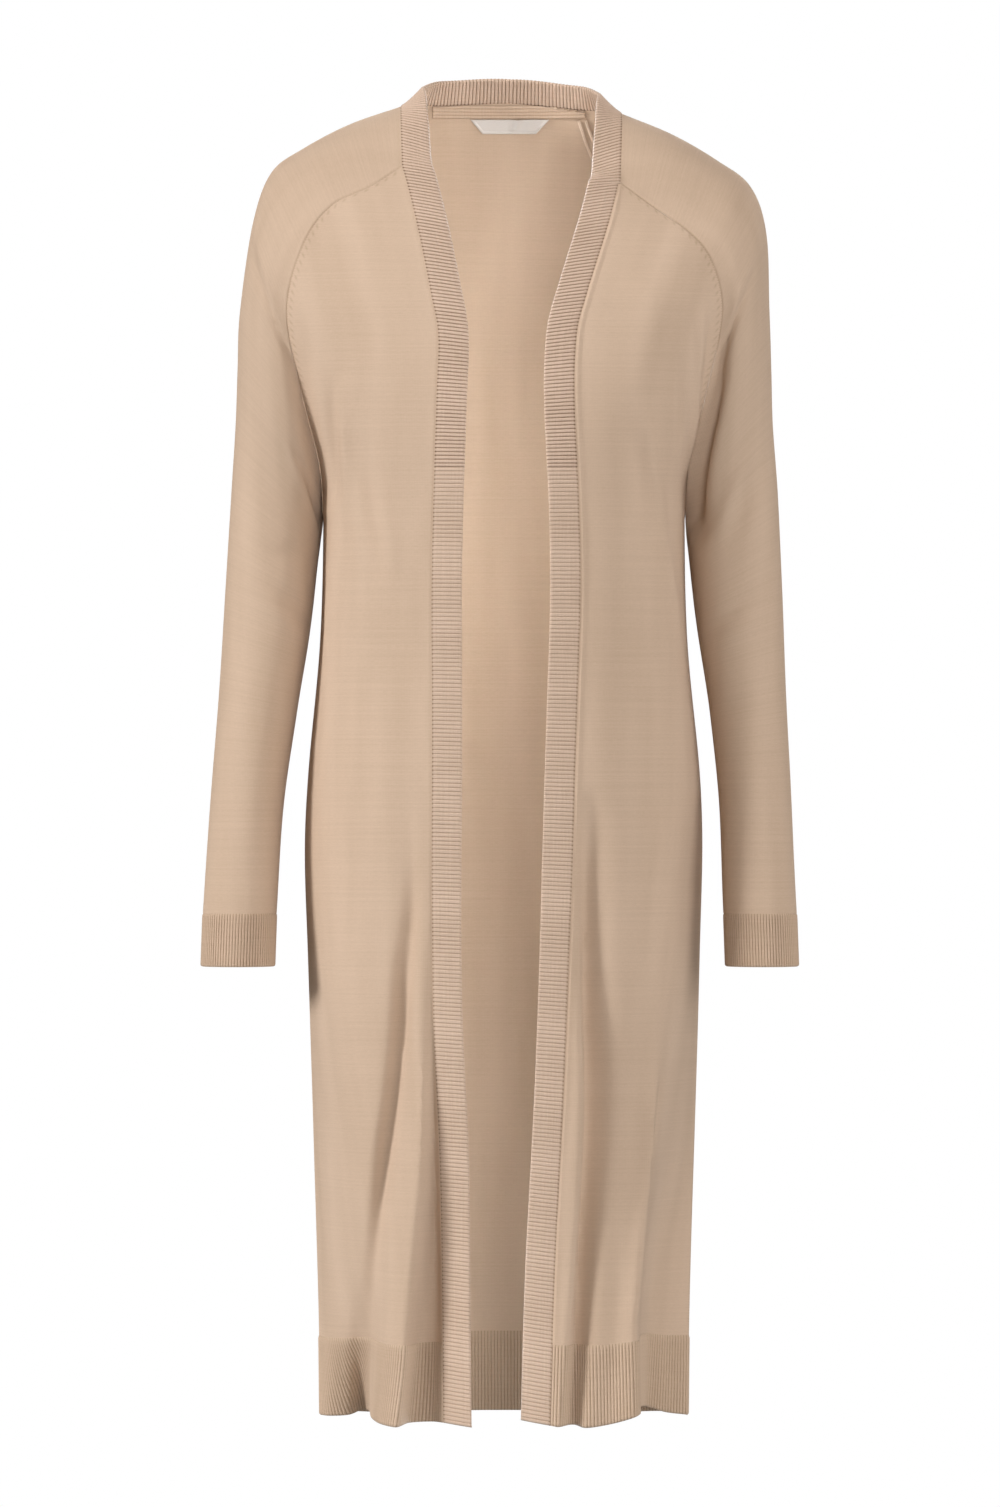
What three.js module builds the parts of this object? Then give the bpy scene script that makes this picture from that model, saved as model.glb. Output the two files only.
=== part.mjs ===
// A long open-front cardigan in fine knit, filled out as on a plain upright figure, in millimetres.
// +Z is up, the open front faces -Y, and the origin lies between the shoulders, level with them.
// Every piece is a thin wall of its own: its outer face is a grid of points, and its inner face
// is that grid moved in by the wall's thickness.

import * as THREE from "three";

// Driving dimensions
const CLOTH = 1.5; // wall of the plain knit
const RIB_WALL = 1.6; // wall of the ribbed strips, under the ribs
const RIB_RAISE = 0.6; // how far a rib stands out
const SEAM_GAP = 0.3; // between two pieces at a seam
const SHARP_SEAM_GAP = 0.6; // between sleeve and body at the underarm
const LONGEST_MITRE = 1.8; // how much thicker a wall may get where two meet at an angle
const BAND_WIDTH = 25;
const BAND_PITCH = 3.3; // one rib of the front band
const HEM_PITCH = 3;
const CUFF_PITCH = 2.6;
const HEM_TOP = -1020;
const HEM = -1087;
const CUFF_TOP = -666;
const CUFF_END = -710;
const UNDERARM = -336;
const BAND_JOIN = -300; // where the neck band is joined to the two long bands
const FULLNESS = 2.5; // exponent of the torso's section: 2 is an ellipse, more is squarer
const BACK_NECK_Z = 11;
const SIDES = [-1, 1]; // the wearer's right side has the lower x

// Tables: a row for each section, read by smooth curves between the rows

const table = (columns, rows) => rows.map((row) => Object.fromEntries(columns.map((c, i) => [c, row[i]])));

// The torso below the neck. halfWidth counts below the underarm, where no seam sets it.
const TORSO = table(["z", "halfWidth", "front", "back", "side"], [
  [8, 90, 40, 66, 0],
  [-30, 150, 56, 81, 0],
  [-53, 180, 67, 88, 0],
  [-88, 180, 82, 94, 0],
  [-120, 170, 94, 98, 0],
  [-170, 160, 108, 99, 0],
  [-240, 152, 117, 95, 0],
  [UNDERARM, 149.5, 116, 91, 0],
  [-440, 152, 113, 90, 4],
  [-550, 162, 110, 93, 10],
  [-614, 165, 108, 95, 15],
  [-700, 163, 104, 98, 23],
  [-850, 159, 97, 101, 36],
  [-1000, 155, 90, 104, 47],
  [HEM, 154, 87, 105, 52],
]);

// Each row is one ring of the sleeve, from the neck (row 0) over the shoulder to the underarm
// (row 7) and down the arm. front and back are where the ring meets the raglan seams, or the
// sleeve's own seam below the underarm, and top is its outermost point. turn is the angle, in
// degrees, at which the ring leaves the seam: 90 wraps it right round. handle sets its fullness.
const SLEEVE = table(
  ["frontX", "frontY", "frontZ", "frontTurn", "topX", "topY", "topZ",
    "backX", "backY", "backZ", "backTurn", "frontHandle", "backHandle"],
  [
    [90, -60, -53, 35, 92, 0, 0, 76, 46, 6, 50, 31, 20],
    [116, -64, -71, 26, 134, 0, -16, 106, 76, -26, 30, 33, 30],
    [148, -67, -88, 24, 172, 0, -37, 140, 88, -58, 20, 34, 36],
    [168, -69, -117, 18, 199, 0, -58, 166, 86, -102, 12, 38, 40],
    [179, -68, -170, 2, 213, 0, -98, 178, 76, -165, 0, 44, 44],
    [166, -55, -240, -34, 219.5, 0, -166, 166, 58, -240, -36, 52, 54],
    [152.5, -32, -295, -62, 221.5, 0, -216, 152.5, 34, -295, -64, 64, 66],
    [150, 0, UNDERARM, -90, 223, 0, -262, 150, 0, UNDERARM, -90, 72, 76],
    [153.5, 0, -374, -90, 227, 0, -322, 153.5, 0, -374, -90, 66, 70],
    [160, -2, -430, -90, 231, -2, -400, 160, -2, -430, -90, 62, 64],
    [171, -6, -500, -90, 235, -6, -488, 171, -6, -500, -90, 56, 58],
    [180, -12, -575, -90, 240.5, -12, -575, 180, -12, -575, -90, 50, 50],
    [184.5, -20, CUFF_TOP, -90, 245.5, -20, CUFF_TOP, 184.5, -20, CUFF_TOP, -90, 42, 42],
  ],
);
const UNDERARM_RING = 7;

// The wearer's left front seam lies lower than the right: by how much, ring by ring
const LEFT_DROP = table(["ring", "drop"], [[0, 9], [1, 9], [2, 14], [3, 10], [4, 3], [5, 0], [12, 0]]);

// The seam between front band and front panel, on the wearer's right and left
const BAND_SEAM = table(["z", "right", "left"], [
  [-53, 90, 90],
  [-95, 78, 81.5],
  [-121, 70.5, 75.5],
  [-159, 60.5, 66.5],
  [-189, 54, 59.8],
  [-237, 55, 57.5],
  [-332, 58, 61.4],
  [-405, 59.3, 62.5],
  [-490, 59, 60],
  [-656, 59, 54.5],
  [-751, 57.5, 51],
  [-853, 53.5, 46.5],
  [-961, 51, 41.5],
  [HEM, 49.5, 37.5],
]);

// The fronts' folds: at each height the front's line as seen from above, from the band's free edge
// (the first row) and its seam (the second) to the side seam, with a row for each bend. lift is how
// far the cloth is drawn up there. Above FOLDS_FROM the front hangs plain.
const FOLDS_FROM = -560;
const bends = (rows) => table(["x", "y", "lift"], rows);
const FOLD_PLANS = {
  right: [
    { z: HEM, bends: bends([[27, -70, -1], [50, -57, 2], [60, -45, 2], [77, -45, 1], [88, -68, -1],
      [100, -54, 0], [111, 24, 4], [119, 46, 4], [129, 37, 1], [145, 40, 0], [154, 52, 0]]) },
    { z: -970, bends: bends([[28, -76, 0], [51, -64, 1], [57, -52, 1], [66, -56, 0], [77, -78, 0],
      [91, -68, 0], [106, -36, 1], [117, -30, 1], [130, -16, 0], [145, 10, 0], [155.5, 45, 0]]) },
    { z: -864, bends: bends([[29, -88, 0], [53, -80, 0], [57, -75, 0], [62, -80, 0], [69, -90, 0],
      [84, -75, 0], [96, -58, 0], [108, -63, 0], [127, -46, 0], [146, -12, 0], [158.5, 37, 0]]) },
    { z: -780, bends: bends([[33, -96, 0], [57, -89, 0], [59, -88, 0], [63, -91, 0], [68, -93, 0],
      [77, -84, 0], [86, -72, 0], [98, -78, 0], [122, -66, 0], [148, -30, 0], [161, 30, 0]]) },
    { z: -690, bends: bends([[35, -101, 0], [59, -96, 0], [61, -96, 0], [65, -96, 0], [70, -94, 0],
      [76, -89, 0], [83, -88, 0], [96, -87, 0], [120, -77, 0], [150, -43, 0], [163, 22, 0]]) },
  ],
  left: [
    { z: HEM, bends: bends([[13.5, -56, 4], [38, -64, 0], [45, -66, -1], [57, -52, 0], [67, -62, -2],
      [88, -60, 1], [109, -60, 7], [111, -14, 9], [118, 28, 9], [135, 42, 3], [154, 52, 0]]) },
    { z: -955, bends: bends([[17.5, -70, 1], [42, -74, 0], [50, -76, 0], [64, -53, 0], [79, -64, 0],
      [96, -62, 0], [110, -62, 1], [114, -28, 2], [121, 5, 2], [138, 28, 0], [156, 44, 0]]) },
    { z: -830, bends: bends([[24, -86, 0], [48, -88, 0], [58, -87, 0], [86, -50, 0], [94, -68, 0],
      [107, -60, 0], [123, -56, 0], [131, -38, 0], [141, -15, 0], [151, 9, 0], [159.5, 34, 0]]) },
    { z: -720, bends: bends([[28.5, -96, 0], [52.5, -95, 0], [60, -93, 0], [75, -72, 0], [87, -84, 0],
      [105, -80, 0], [124, -70, 0], [139, -52, 0], [151, -27, 0], [158, 0, 0], [162.5, 25, 0]]) },
    { z: -630, bends: bends([[31, -102, 0], [56, -101, 0], [61, -98, 0], [70, -92, 0], [80, -96, 0],
      [104, -88, 0], [124, -78, 0], [140, -61, 0], [152, -34, 0], [160, -6, 0], [164.5, 16, 0]]) },
  ],
};

// Soft upright folds of the back: across is from -1 at one side seam to 1 at the other
const BACK_FOLDS = table(["across", "width", "depth", "rise"], [
  [-0.78, 0.1, 9, -520],
  [-0.6, 0.09, -9, -460],
  [-0.42, 0.1, 8, -420],
  [-0.24, 0.09, -6, -480],
  [0.22, 0.09, -6, -520],
  [0.4, 0.1, 8, -440],
  [0.58, 0.09, -10, -480],
  [0.77, 0.1, 9, -560],
]);

// Soft folds of a sleeve: ring and turn say where, and depth is in at a trough, out at a ridge
const SLEEVE_FOLDS = table(["ring", "turn", "length", "width", "depth"], [
  [7.6, 0.25, 1.3, 0.12, -4],
  [9.4, 0.3, 1.1, 0.12, -3],
  [8.6, 0.72, 1.3, 0.12, -5],
  [10.4, 0.7, 1.1, 0.12, -3],
]);

// What lies inside the back of the neck
const LAID_GAP = 0.8; // between the back and what lies on it
const TAPE = { from: -60, to: 68, top: 9, bottom: -1.5, thickness: 1 };
const LABEL = {
  topFrom: -28, topTo: 38, top: -2.5,
  bottomFrom: -18, bottomTo: 27, bottom: -14,
  thickness: 1,
};
const LOOP_WIDTH = 2.6;
const LOOP_THICKNESS = 1;
const LOOP = table(["x", "z"], [
  [63, -3.5], [66.5, -14], [71, -27], [75.5, -36], [80, -38], [81, -33], [77, -24], [72.5, -13], [69, -3.5],
]);

// Round the neck the band's free edge stands up from its seam, in over the neck. Each row is a
// direction, from the front seam of the sleeve over its top to the middle of the back.
const LEAN = table(["inward", "forward", "up"], [
  [0.965, 0.155, 0.21],
  [0.87, 0.12, 0.44],
  [0.76, 0.02, 0.65],
  [0.54, -0.34, 0.77],
  [0, -0.52, 0.85],
]);
const NECK_TURNS = { front: 0, top: 2, back: 3, centre: 4 }; // rows of LEAN

// Which sections carry the walls' rows
const SHOULDER_RINGS = [0, 0.6, 1.3, 2, 2.7, 3.4, 4, 4.6, 5.2, 5.8, 6.4, 7];
const ARM_RINGS = [7.6, 8.2, 8.9, 9.7, 10.5, 11.3, 12];
const BODY_HEIGHTS = [-380, -430, -485, -540, -595, -650, -705, -760, -815, -870, -920, -970, HEM_TOP];
const FRONT_TIP_RING = 0.18; // the front panel starts here, where it is a few millimetres wide
const FRONT_COLUMNS = 14;
const BACK_COLUMNS = 16;
const HALF_RING_COLUMNS = 8;
const TAPE_STEPS = 12;
const LABEL_STEPS = 8;
const SEARCH_STEPS = 12;
const SECTION_STEPS = 90; // fine steps along a section before its points are spaced out
const LEAST_WIDTH = 0.5; // of a front panel at its tip
const FACING_AWAY = -0.8; // two normals whose product is less than this aren't shared

// How the garment hangs: the neck sits off centre with one shoulder lower, from the armholes up,
// and the arms swing a little to one side, from beside the underarm down
const NECK_HANG = { from: -190, to: -60, across: 6, slope: 0.03 };
const ARM_HANG = { fromX: 160, toX: 190, over: 350, across: -3.5 };

// The band's free edge tilts up, square to the seam, above this height
const TILT = { from: -330, to: -240 };
const TILT_REACH = 12; // the seam's slope is read this far above and below
const LIFT = { from: -900, to: -1080 }; // the folds' lift grows between these heights
const BACK_RISE_RINGS = 1.5; // the back neck's rise fades out over these rings
const BACK_SIDE_STRIP = 0.12; // share of the back beside each seam where folds die out
const CUFF_SPREAD = { across: 1.5, forward: 2 }; // how far a cuff's end stands out from its top

// Smooth reading of a table

const clamp = (v, low, high) => Math.min(high, Math.max(low, v));
const lerp = (a, b, t) => a + (b - a) * t;
function smooth(t) {
  const c = clamp(t, 0, 1);
  return c * c * (3 - 2 * c);
}

function cubic(values, places, at) {
  const last = places.length - 1;
  let i = 0;
  while (i < last - 1 && (places[i + 1] - at) * (places[last] - places[0]) < 0) i++;
  const slope = (k) => {
    const lo = Math.max(k - 1, 0), hi = Math.min(k + 1, last);
    return (values[hi] - values[lo]) / (places[hi] - places[lo]);
  };
  const span = places[i + 1] - places[i];
  const t = clamp((at - places[i]) / span, 0, 1);
  const t2 = t * t, t3 = t2 * t;
  return (2 * t3 - 3 * t2 + 1) * values[i] + (t3 - 2 * t2 + t) * span * slope(i)
    + (3 * t2 - 2 * t3) * values[i + 1] + (t3 - t2) * span * slope(i + 1);
}

const readAt = (rows, place, column, at) => cubic(rows.map((r) => r[column]), rows.map((r) => r[place]), at);
const readRow = (rows, column, at) => cubic(rows.map((r) => r[column]), rows.map((_, i) => i), at);
const torso = (column, z) => readAt(TORSO, "z", column, z);
const leftDrop = (ring) => readAt(LEFT_DROP, "ring", "drop", ring);
const sideName = (side) => (side < 0 ? "right" : "left");

// Moves a point from the even garment to where it hangs
function hang(p) {
  const grow = (from, to, at) => smooth((at - from) / (to - from));
  const neck = grow(NECK_HANG.from, NECK_HANG.to, p.z);
  const arm = grow(ARM_HANG.fromX, ARM_HANG.toX, Math.abs(p.x)) * smooth((UNDERARM - p.z) / ARM_HANG.over);
  p.z -= NECK_HANG.slope * p.x * neck;
  p.x += NECK_HANG.across * neck + ARM_HANG.across * arm;
  return p;
}

// Torso sections

// A section through the torso as evenly spaced points from one x to another, on one side
function sectionLine(z, halfWidth, depth, facing, xFrom, xTo, count) {
  const side = torso("side", z);
  const angle = (x) => Math.asin(clamp(x / halfWidth, 0, 1) ** (FULLNESS / 2));
  const from = angle(xFrom), to = angle(xTo);
  const fine = [];
  for (let i = 0; i <= SECTION_STEPS; i++) {
    const a = lerp(from, to, i / SECTION_STEPS);
    const x = halfWidth * Math.sin(a) ** (2 / FULLNESS);
    const y = side + facing * (depth - facing * side) * Math.max(Math.cos(a), 0) ** (2 / FULLNESS);
    fine.push(new THREE.Vector3(x, y, z));
  }
  return spaced(fine, count);
}

function spaced(points, count) {
  const run = [0];
  for (let i = 1; i < points.length; i++) run.push(run[i - 1] + points[i].distanceTo(points[i - 1]));
  const total = run[run.length - 1];
  const out = [];
  let k = 0;
  for (let i = 0; i <= count; i++) {
    const want = (total * i) / count;
    while (k < run.length - 2 && run[k + 1] < want) k++;
    const t = (want - run[k]) / Math.max(run[k + 1] - run[k], 1e-9);
    out.push(points[k].clone().lerp(points[k + 1], clamp(t, 0, 1)));
  }
  return out;
}

// The half width that takes a section through the seam point (x, y)
function widthThrough(z, depth, facing, x, y) {
  const side = torso("side", z);
  const share = clamp(Math.abs(y - side) / (depth - facing * side), 0, 0.999);
  return x / (1 - share ** FULLNESS) ** (1 / FULLNESS);
}

const seamPoint = (edge, ring, side) => ({
  x: readRow(SLEEVE, edge + "X", ring),
  y: readRow(SLEEVE, edge + "Y", ring),
  z: readRow(SLEEVE, edge + "Z", ring) - (edge === "front" && side > 0 ? leftDrop(ring) : 0),
});

// A section's height, half width and outer end: from a sleeve ring above the underarm, or from a
// height below it
function sectionOf(station, edge, facing, side) {
  const depthColumn = edge === "front" ? "front" : "back";
  if (station >= 0) {
    const p = seamPoint(edge, station, side);
    const depth = torso(depthColumn, p.z);
    return { z: p.z, halfWidth: widthThrough(p.z, depth, facing, p.x, p.y), depth, end: p.x };
  }
  const halfWidth = torso("halfWidth", station);
  return { z: station, halfWidth, depth: torso(depthColumn, station), end: halfWidth };
}

// Fronts

const seamX = (side, z) => readAt(BAND_SEAM, "z", sideName(side), clamp(z, HEM, BAND_SEAM[0].z));

function plainFrontRow(side, station, count) {
  const s = sectionOf(station, "front", -1, side);
  const start = Math.min(seamX(side, s.z), s.end - LEAST_WIDTH);
  return sectionLine(s.z, s.halfWidth, s.depth, -1, start, s.end, count);
}

// A point of the plain front, by its share of the way from the band's seam to the side
function plainPoint(side, z, share) {
  const line = plainFrontRow(side, z, SECTION_STEPS);
  const at = clamp(share, 0, 1) * SECTION_STEPS;
  const k = Math.min(Math.floor(at), SECTION_STEPS - 1);
  return line[k].clone().lerp(line[k + 1], at - k);
}

// Each plan as shares of the way along the front, with how far the cloth is moved at each
const plans = Object.fromEntries(SIDES.map((side) => {
  const ofSide = FOLD_PLANS[sideName(side)].map((plan) => {
    const points = plan.bends.slice(1).map((b) => new THREE.Vector3(b.x, b.y, 0));
    const run = [0];
    for (let i = 1; i < points.length; i++) run.push(run[i - 1] + points[i].distanceTo(points[i - 1]));
    const shares = run.map((r) => r / run[run.length - 1]);
    const moves = points.map((p, i) => {
      const plain = plainPoint(side, plan.z, shares[i]);
      const last = i === points.length - 1;
      return { x: last ? 0 : p.x - plain.x, y: last ? 0 : p.y - plain.y, lift: plan.bends[i + 1].lift };
    });
    const free = plainFree(side, plan.z);
    const b = plan.bends[0];
    return { z: plan.z, shares, moves, free: { x: b.x - free.x, y: b.y - free.y, lift: b.lift } };
  });
  const still = { x: 0, y: 0, lift: 0 };
  const top = ofSide[ofSide.length - 1];
  ofSide.push({ z: FOLDS_FROM, shares: top.shares, moves: top.moves.map(() => still), free: still });
  return [side, ofSide];
}));

function foldShift(side, share, z) {
  const ofSide = plans[side];
  const heights = ofSide.map((plan) => plan.z);
  const shares = ofSide[0].shares.map((_, k) => cubic(ofSide.map((plan) => plan.shares[k]), heights, z));
  const moved = (name) => cubic(
    shares.map((_, k) => cubic(ofSide.map((plan) => plan.moves[k][name]), heights, z)), shares, share);
  const grown = smooth((z - LIFT.from) / (LIFT.to - LIFT.from));
  return new THREE.Vector3(moved("x"), moved("y"), moved("lift") * grown);
}

function freeShift(side, z) {
  const heights = plans[side].map((plan) => plan.z);
  const moved = (name) => cubic(plans[side].map((plan) => plan.free[name]), heights, z);
  return new THREE.Vector3(moved("x"), moved("y"), moved("lift"));
}

function frontRow(side, station) {
  const row = plainFrontRow(side, station, FRONT_COLUMNS);
  row.forEach((p, i) => {
    if (station < FOLDS_FROM) p.add(foldShift(side, i / FRONT_COLUMNS, station));
    p.x *= side;
    hang(p);
  });
  return row;
}

const frontStations = [FRONT_TIP_RING, ...SHOULDER_RINGS.slice(1), ...BODY_HEIGHTS];
const hemStations = [HEM_TOP, HEM];

// The band's free edge: one band's width in from its seam, square to it, along the same section
function plainFree(side, station) {
  const s = sectionOf(station, "front", -1, side);
  const seam = Math.min(seamX(side, s.z), s.end);
  const slope = (seamX(side, s.z + TILT_REACH) - seamX(side, s.z - TILT_REACH)) / (2 * TILT_REACH);
  const tilt = Math.atan(slope) * smooth((s.z - TILT.from) / (TILT.to - TILT.from));
  const width = BAND_WIDTH * Math.cos(tilt);
  const inside = Math.max(seam - 2 * width, 1);
  const line = sectionLine(s.z, s.halfWidth, s.depth, -1, inside, seam, SECTION_STEPS).reverse();
  let run = 0, k = 1;
  while (k < line.length - 1 && run + line[k].distanceTo(line[k - 1]) < width) {
    run += line[k].distanceTo(line[k - 1]);
    k++;
  }
  const p = line[k - 1].clone().lerp(line[k], clamp((width - run) / line[k].distanceTo(line[k - 1]), 0, 1));
  const up = BAND_WIDTH * Math.sin(tilt);
  p.y *= torso("front", s.z + up) / torso("front", s.z);
  p.z += up;
  return p;
}

function freeEdge(side, station) {
  const p = plainFree(side, station);
  return station < FOLDS_FROM ? p.add(freeShift(side, station)) : p;
}

function placed(side, p) {
  p.x *= side;
  return hang(p);
}

// Back

function backRow(station) {
  const s = sectionOf(station, "back", 1);
  const half = sectionLine(s.z, s.halfWidth, s.depth, 1, 0, s.end, BACK_COLUMNS / 2);
  const row = [...half.slice(1).reverse().map((p) => new THREE.Vector3(-p.x, p.y, p.z)), ...half];
  row.forEach((p, i) => {
    const across = (2 * i) / BACK_COLUMNS - 1;
    const nearSide = 1 - Math.abs(across);
    BACK_FOLDS.forEach((f) => {
      const grown = smooth((f.rise - p.z) / (f.rise - HEM));
      const near = Math.exp(-(((across - f.across) / f.width) ** 2)) * smooth(nearSide / BACK_SIDE_STRIP);
      p.y += f.depth * grown * near;
    });
    const rise = (BACK_NECK_Z - SLEEVE[0].backZ) * smooth(nearSide);
    if (station >= 0) p.z += rise * smooth(1 - station / BACK_RISE_RINGS);
    hang(p);
  });
  return row;
}
const backStations = [...SHOULDER_RINGS, ...BODY_HEIGHTS];

// Sleeves

function bezier(a, b, c, d, t) {
  const u = 1 - t;
  return a.clone().multiplyScalar(u * u * u)
    .addScaledVector(b, 3 * u * u * t)
    .addScaledVector(c, 3 * u * t * t)
    .addScaledVector(d, t * t * t);
}

// One ring of a sleeve, from its front seam over the top to its back seam
function sleeveRing(side, ring) {
  const read = (column) => readRow(SLEEVE, column, ring);
  const top = new THREE.Vector3(read("topX"), read("topY"), read("topZ"));
  const apart = SHARP_SEAM_GAP * smooth(ring - (UNDERARM_RING - 1));
  const half = (edge, facing) => {
    const seam = seamPoint(edge, ring, side);
    const end = new THREE.Vector3(seam.x + apart, seam.y, seam.z);
    const out = new THREE.Vector3(top.x - end.x, 0, top.z - end.z).normalize();
    const turn = THREE.MathUtils.degToRad(read(edge + "Turn"));
    const handle = read(edge + "Handle");
    const leave = out.multiplyScalar(Math.cos(turn)).add(new THREE.Vector3(0, -facing * Math.sin(turn), 0));
    const points = [];
    const bendNearEnd = end.clone().addScaledVector(leave, handle);
    const bendNearTop = top.clone().add(new THREE.Vector3(0, facing * handle, 0));
    for (let i = 0; i <= SECTION_STEPS; i++) {
      points.push(bezier(end, bendNearEnd, bendNearTop, top, i / SECTION_STEPS));
    }
    return spaced(points, HALF_RING_COLUMNS);
  };
  const line = [...half("front", -1), ...half("back", 1).reverse().slice(1)];
  const columns = line.length - 1;
  line.forEach((p, i) => {
    const turn = i / columns;
    SLEEVE_FOLDS.forEach((f) => {
      const near = Math.exp(-(((ring - f.ring) / f.length) ** 2) - ((turn - f.turn) / f.width) ** 2);
      p.y += f.depth * near * (turn < 0.5 ? -1 : 1);
    });
    placed(side, p);
  });
  return line;
}
const sleeveStations = [...SHOULDER_RINGS, ...ARM_RINGS];

function cuffRing(side, z) {
  const down = (CUFF_TOP - z) / (CUFF_TOP - CUFF_END);
  const ring = sleeveRing(side, SLEEVE.length - 1);
  const across = side * CUFF_SPREAD.across * down;
  return ring.map((p) => new THREE.Vector3(p.x + across, p.y - CUFF_SPREAD.forward * down, z));
}

// Normals and walls

// Normals of a grid of points. facing is 1 where columns and then rows turn clockwise as seen from
// outside, and -1 where they turn the other way.
function normalsOf(grid, facing) {
  const rows = grid.length, columns = grid[0].length;
  return grid.map((row, r) => row.map((_, c) => {
    const along = grid[Math.min(r + 1, rows - 1)][c].clone().sub(grid[Math.max(r - 1, 0)][c]);
    const across = row[Math.min(c + 1, columns - 1)].clone().sub(row[Math.max(c - 1, 0)]);
    return across.cross(along).normalize().multiplyScalar(facing);
  }));
}

// Two pieces that meet share one direction through the wall, so that they stay clear of each other
function shareNormals(first, second) {
  first.forEach((a, i) => {
    const b = second[i];
    if (!b || a.dot(b) < FACING_AWAY) return;
    const mean = a.clone().add(b).normalize();
    mean.multiplyScalar(Math.min(1 / mean.dot(a), LONGEST_MITRE));
    a.copy(mean);
    b.copy(mean);
  });
}

// The half of one of the back's rows that lies on a side, from its seam to the centre
const halfOf = (row, side) => {
  const middle = BACK_COLUMNS / 2;
  return side < 0 ? row.slice(0, middle + 1) : row.slice(middle).reverse();
};

const column = (grid, c) => grid.map((row) => row[c < 0 ? row.length + c : c]);

// Moves one edge of a grid inwards by half a seam's gap
function drawBack(grid, edge, gap = SEAM_GAP / 2) {
  const move = (p, next) => p.addScaledVector(next.clone().sub(p).normalize(), gap);
  const last = grid.length - 1, end = grid[0].length - 1;
  if (edge === "top") grid[0].forEach((p, c) => move(p, grid[1][c]));
  if (edge === "bottom") grid[last].forEach((p, c) => move(p, grid[last - 1][c]));
  if (edge === "start") grid.forEach((row) => move(row[0], row[1]));
  if (edge === "end") grid.forEach((row) => move(row[end], row[end - 1]));
}

const inwards = (grid, normals, thickness) =>
  grid.map((row, r) => row.map((p, c) => p.clone().addScaledVector(normals[r][c], -thickness)));

function geometryFrom(points, faces) {
  const g = new THREE.BufferGeometry();
  let volume = 0;
  faces.forEach(([a, b, c]) => { volume += points[a].dot(points[b].clone().cross(points[c])); });
  const facing = volume < 0 ? faces.map(([a, b, c]) => [a, c, b]) : faces;
  g.setAttribute("position", new THREE.Float32BufferAttribute(points.flatMap((p) => [p.x, p.y, p.z]), 3));
  g.setIndex(facing.flat());
  return g;
}

// A closed wall between an outer and an inner grid of the same size
function wall(outer, inner) {
  const rows = outer.length, columns = outer[0].length;
  const points = [...outer.flat(), ...inner.flat()];
  const o = (r, c) => r * columns + c;
  const i = (r, c) => rows * columns + r * columns + c;
  const faces = [];
  const quad = (a, b, c, d) => faces.push([a, b, c], [a, c, d]);
  for (let r = 0; r < rows - 1; r++) {
    for (let c = 0; c < columns - 1; c++) {
      quad(o(r, c), o(r, c + 1), o(r + 1, c + 1), o(r + 1, c));
      quad(i(r, c), i(r + 1, c), i(r + 1, c + 1), i(r, c + 1));
    }
    quad(o(r, 0), o(r + 1, 0), i(r + 1, 0), i(r, 0));
    quad(o(r, columns - 1), i(r, columns - 1), i(r + 1, columns - 1), o(r + 1, columns - 1));
  }
  for (let c = 0; c < columns - 1; c++) {
    quad(o(0, c), i(0, c), i(0, c + 1), o(0, c + 1));
    quad(o(rows - 1, c), o(rows - 1, c + 1), i(rows - 1, c + 1), i(rows - 1, c));
  }
  return geometryFrom(points, faces);
}

// A closed strip between two long edges, with ribs that run from one edge to the other raised on
// its outer face over a plain inner face
function ribbedStrip(first, second, firstNormals, secondNormals, pitch) {
  const points = [], faces = [];
  const add = (p, n, distance) => points.push(p.clone().addScaledVector(n, distance)) - 1;
  const inner = first.map((p, k) => [
    add(p, firstNormals[k], -RIB_WALL),
    add(second[k], secondNormals[k], -RIB_WALL),
  ]);
  const fine = [];
  const stops = [0];
  for (let k = 0; k < first.length - 1; k++) {
    const length = (first[k].distanceTo(first[k + 1]) + second[k].distanceTo(second[k + 1])) / 2;
    const steps = 2 * Math.max(1, Math.round(length / pitch));
    for (let i = k ? 1 : 0; i <= steps; i++) {
      const t = i / steps;
      const raise = i % 2 ? RIB_RAISE : 0;
      fine.push([first, second].map((edge, e) => {
        const normals = e ? secondNormals : firstNormals;
        const normal = normals[k].clone().lerp(normals[k + 1], t).normalize();
        return add(edge[k].clone().lerp(edge[k + 1], t), normal, raise);
      }));
    }
    stops.push(fine.length - 1);
  }
  const quad = (a, b, c, d) => faces.push([a, b, c], [a, c, d]);
  for (let i = 0; i < fine.length - 1; i++) quad(fine[i][0], fine[i][1], fine[i + 1][1], fine[i + 1][0]);
  for (let k = 0; k < inner.length - 1; k++) {
    quad(inner[k][0], inner[k + 1][0], inner[k + 1][1], inner[k][1]);
    const middle = Math.floor((stops[k] + stops[k + 1]) / 2);
    for (let i = stops[k]; i < stops[k + 1]; i++) {
      const foot = inner[i < middle ? k : k + 1];
      faces.push([fine[i][0], fine[i + 1][0], foot[0]], [fine[i + 1][1], fine[i][1], foot[1]]);
    }
    faces.push([fine[middle][0], inner[k + 1][0], inner[k][0]]);
    faces.push([fine[middle][1], inner[k][1], inner[k + 1][1]]);
  }
  const last = fine.length - 1, end = inner.length - 1;
  quad(fine[0][0], inner[0][0], inner[0][1], fine[0][1]);
  quad(fine[last][0], fine[last][1], inner[end][1], inner[end][0]);
  return geometryFrom(points, faces);
}

// Pieces

const garment = new THREE.Group();
const cloth = new THREE.MeshStandardMaterial({ color: 0xcfb298, roughness: 0.85, metalness: 0 });
const rib = new THREE.MeshStandardMaterial({ color: 0xc3a58b, roughness: 0.9, metalness: 0 });
const satin = new THREE.MeshStandardMaterial({ color: 0xd9d2ca, roughness: 0.4, metalness: 0 });

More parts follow.
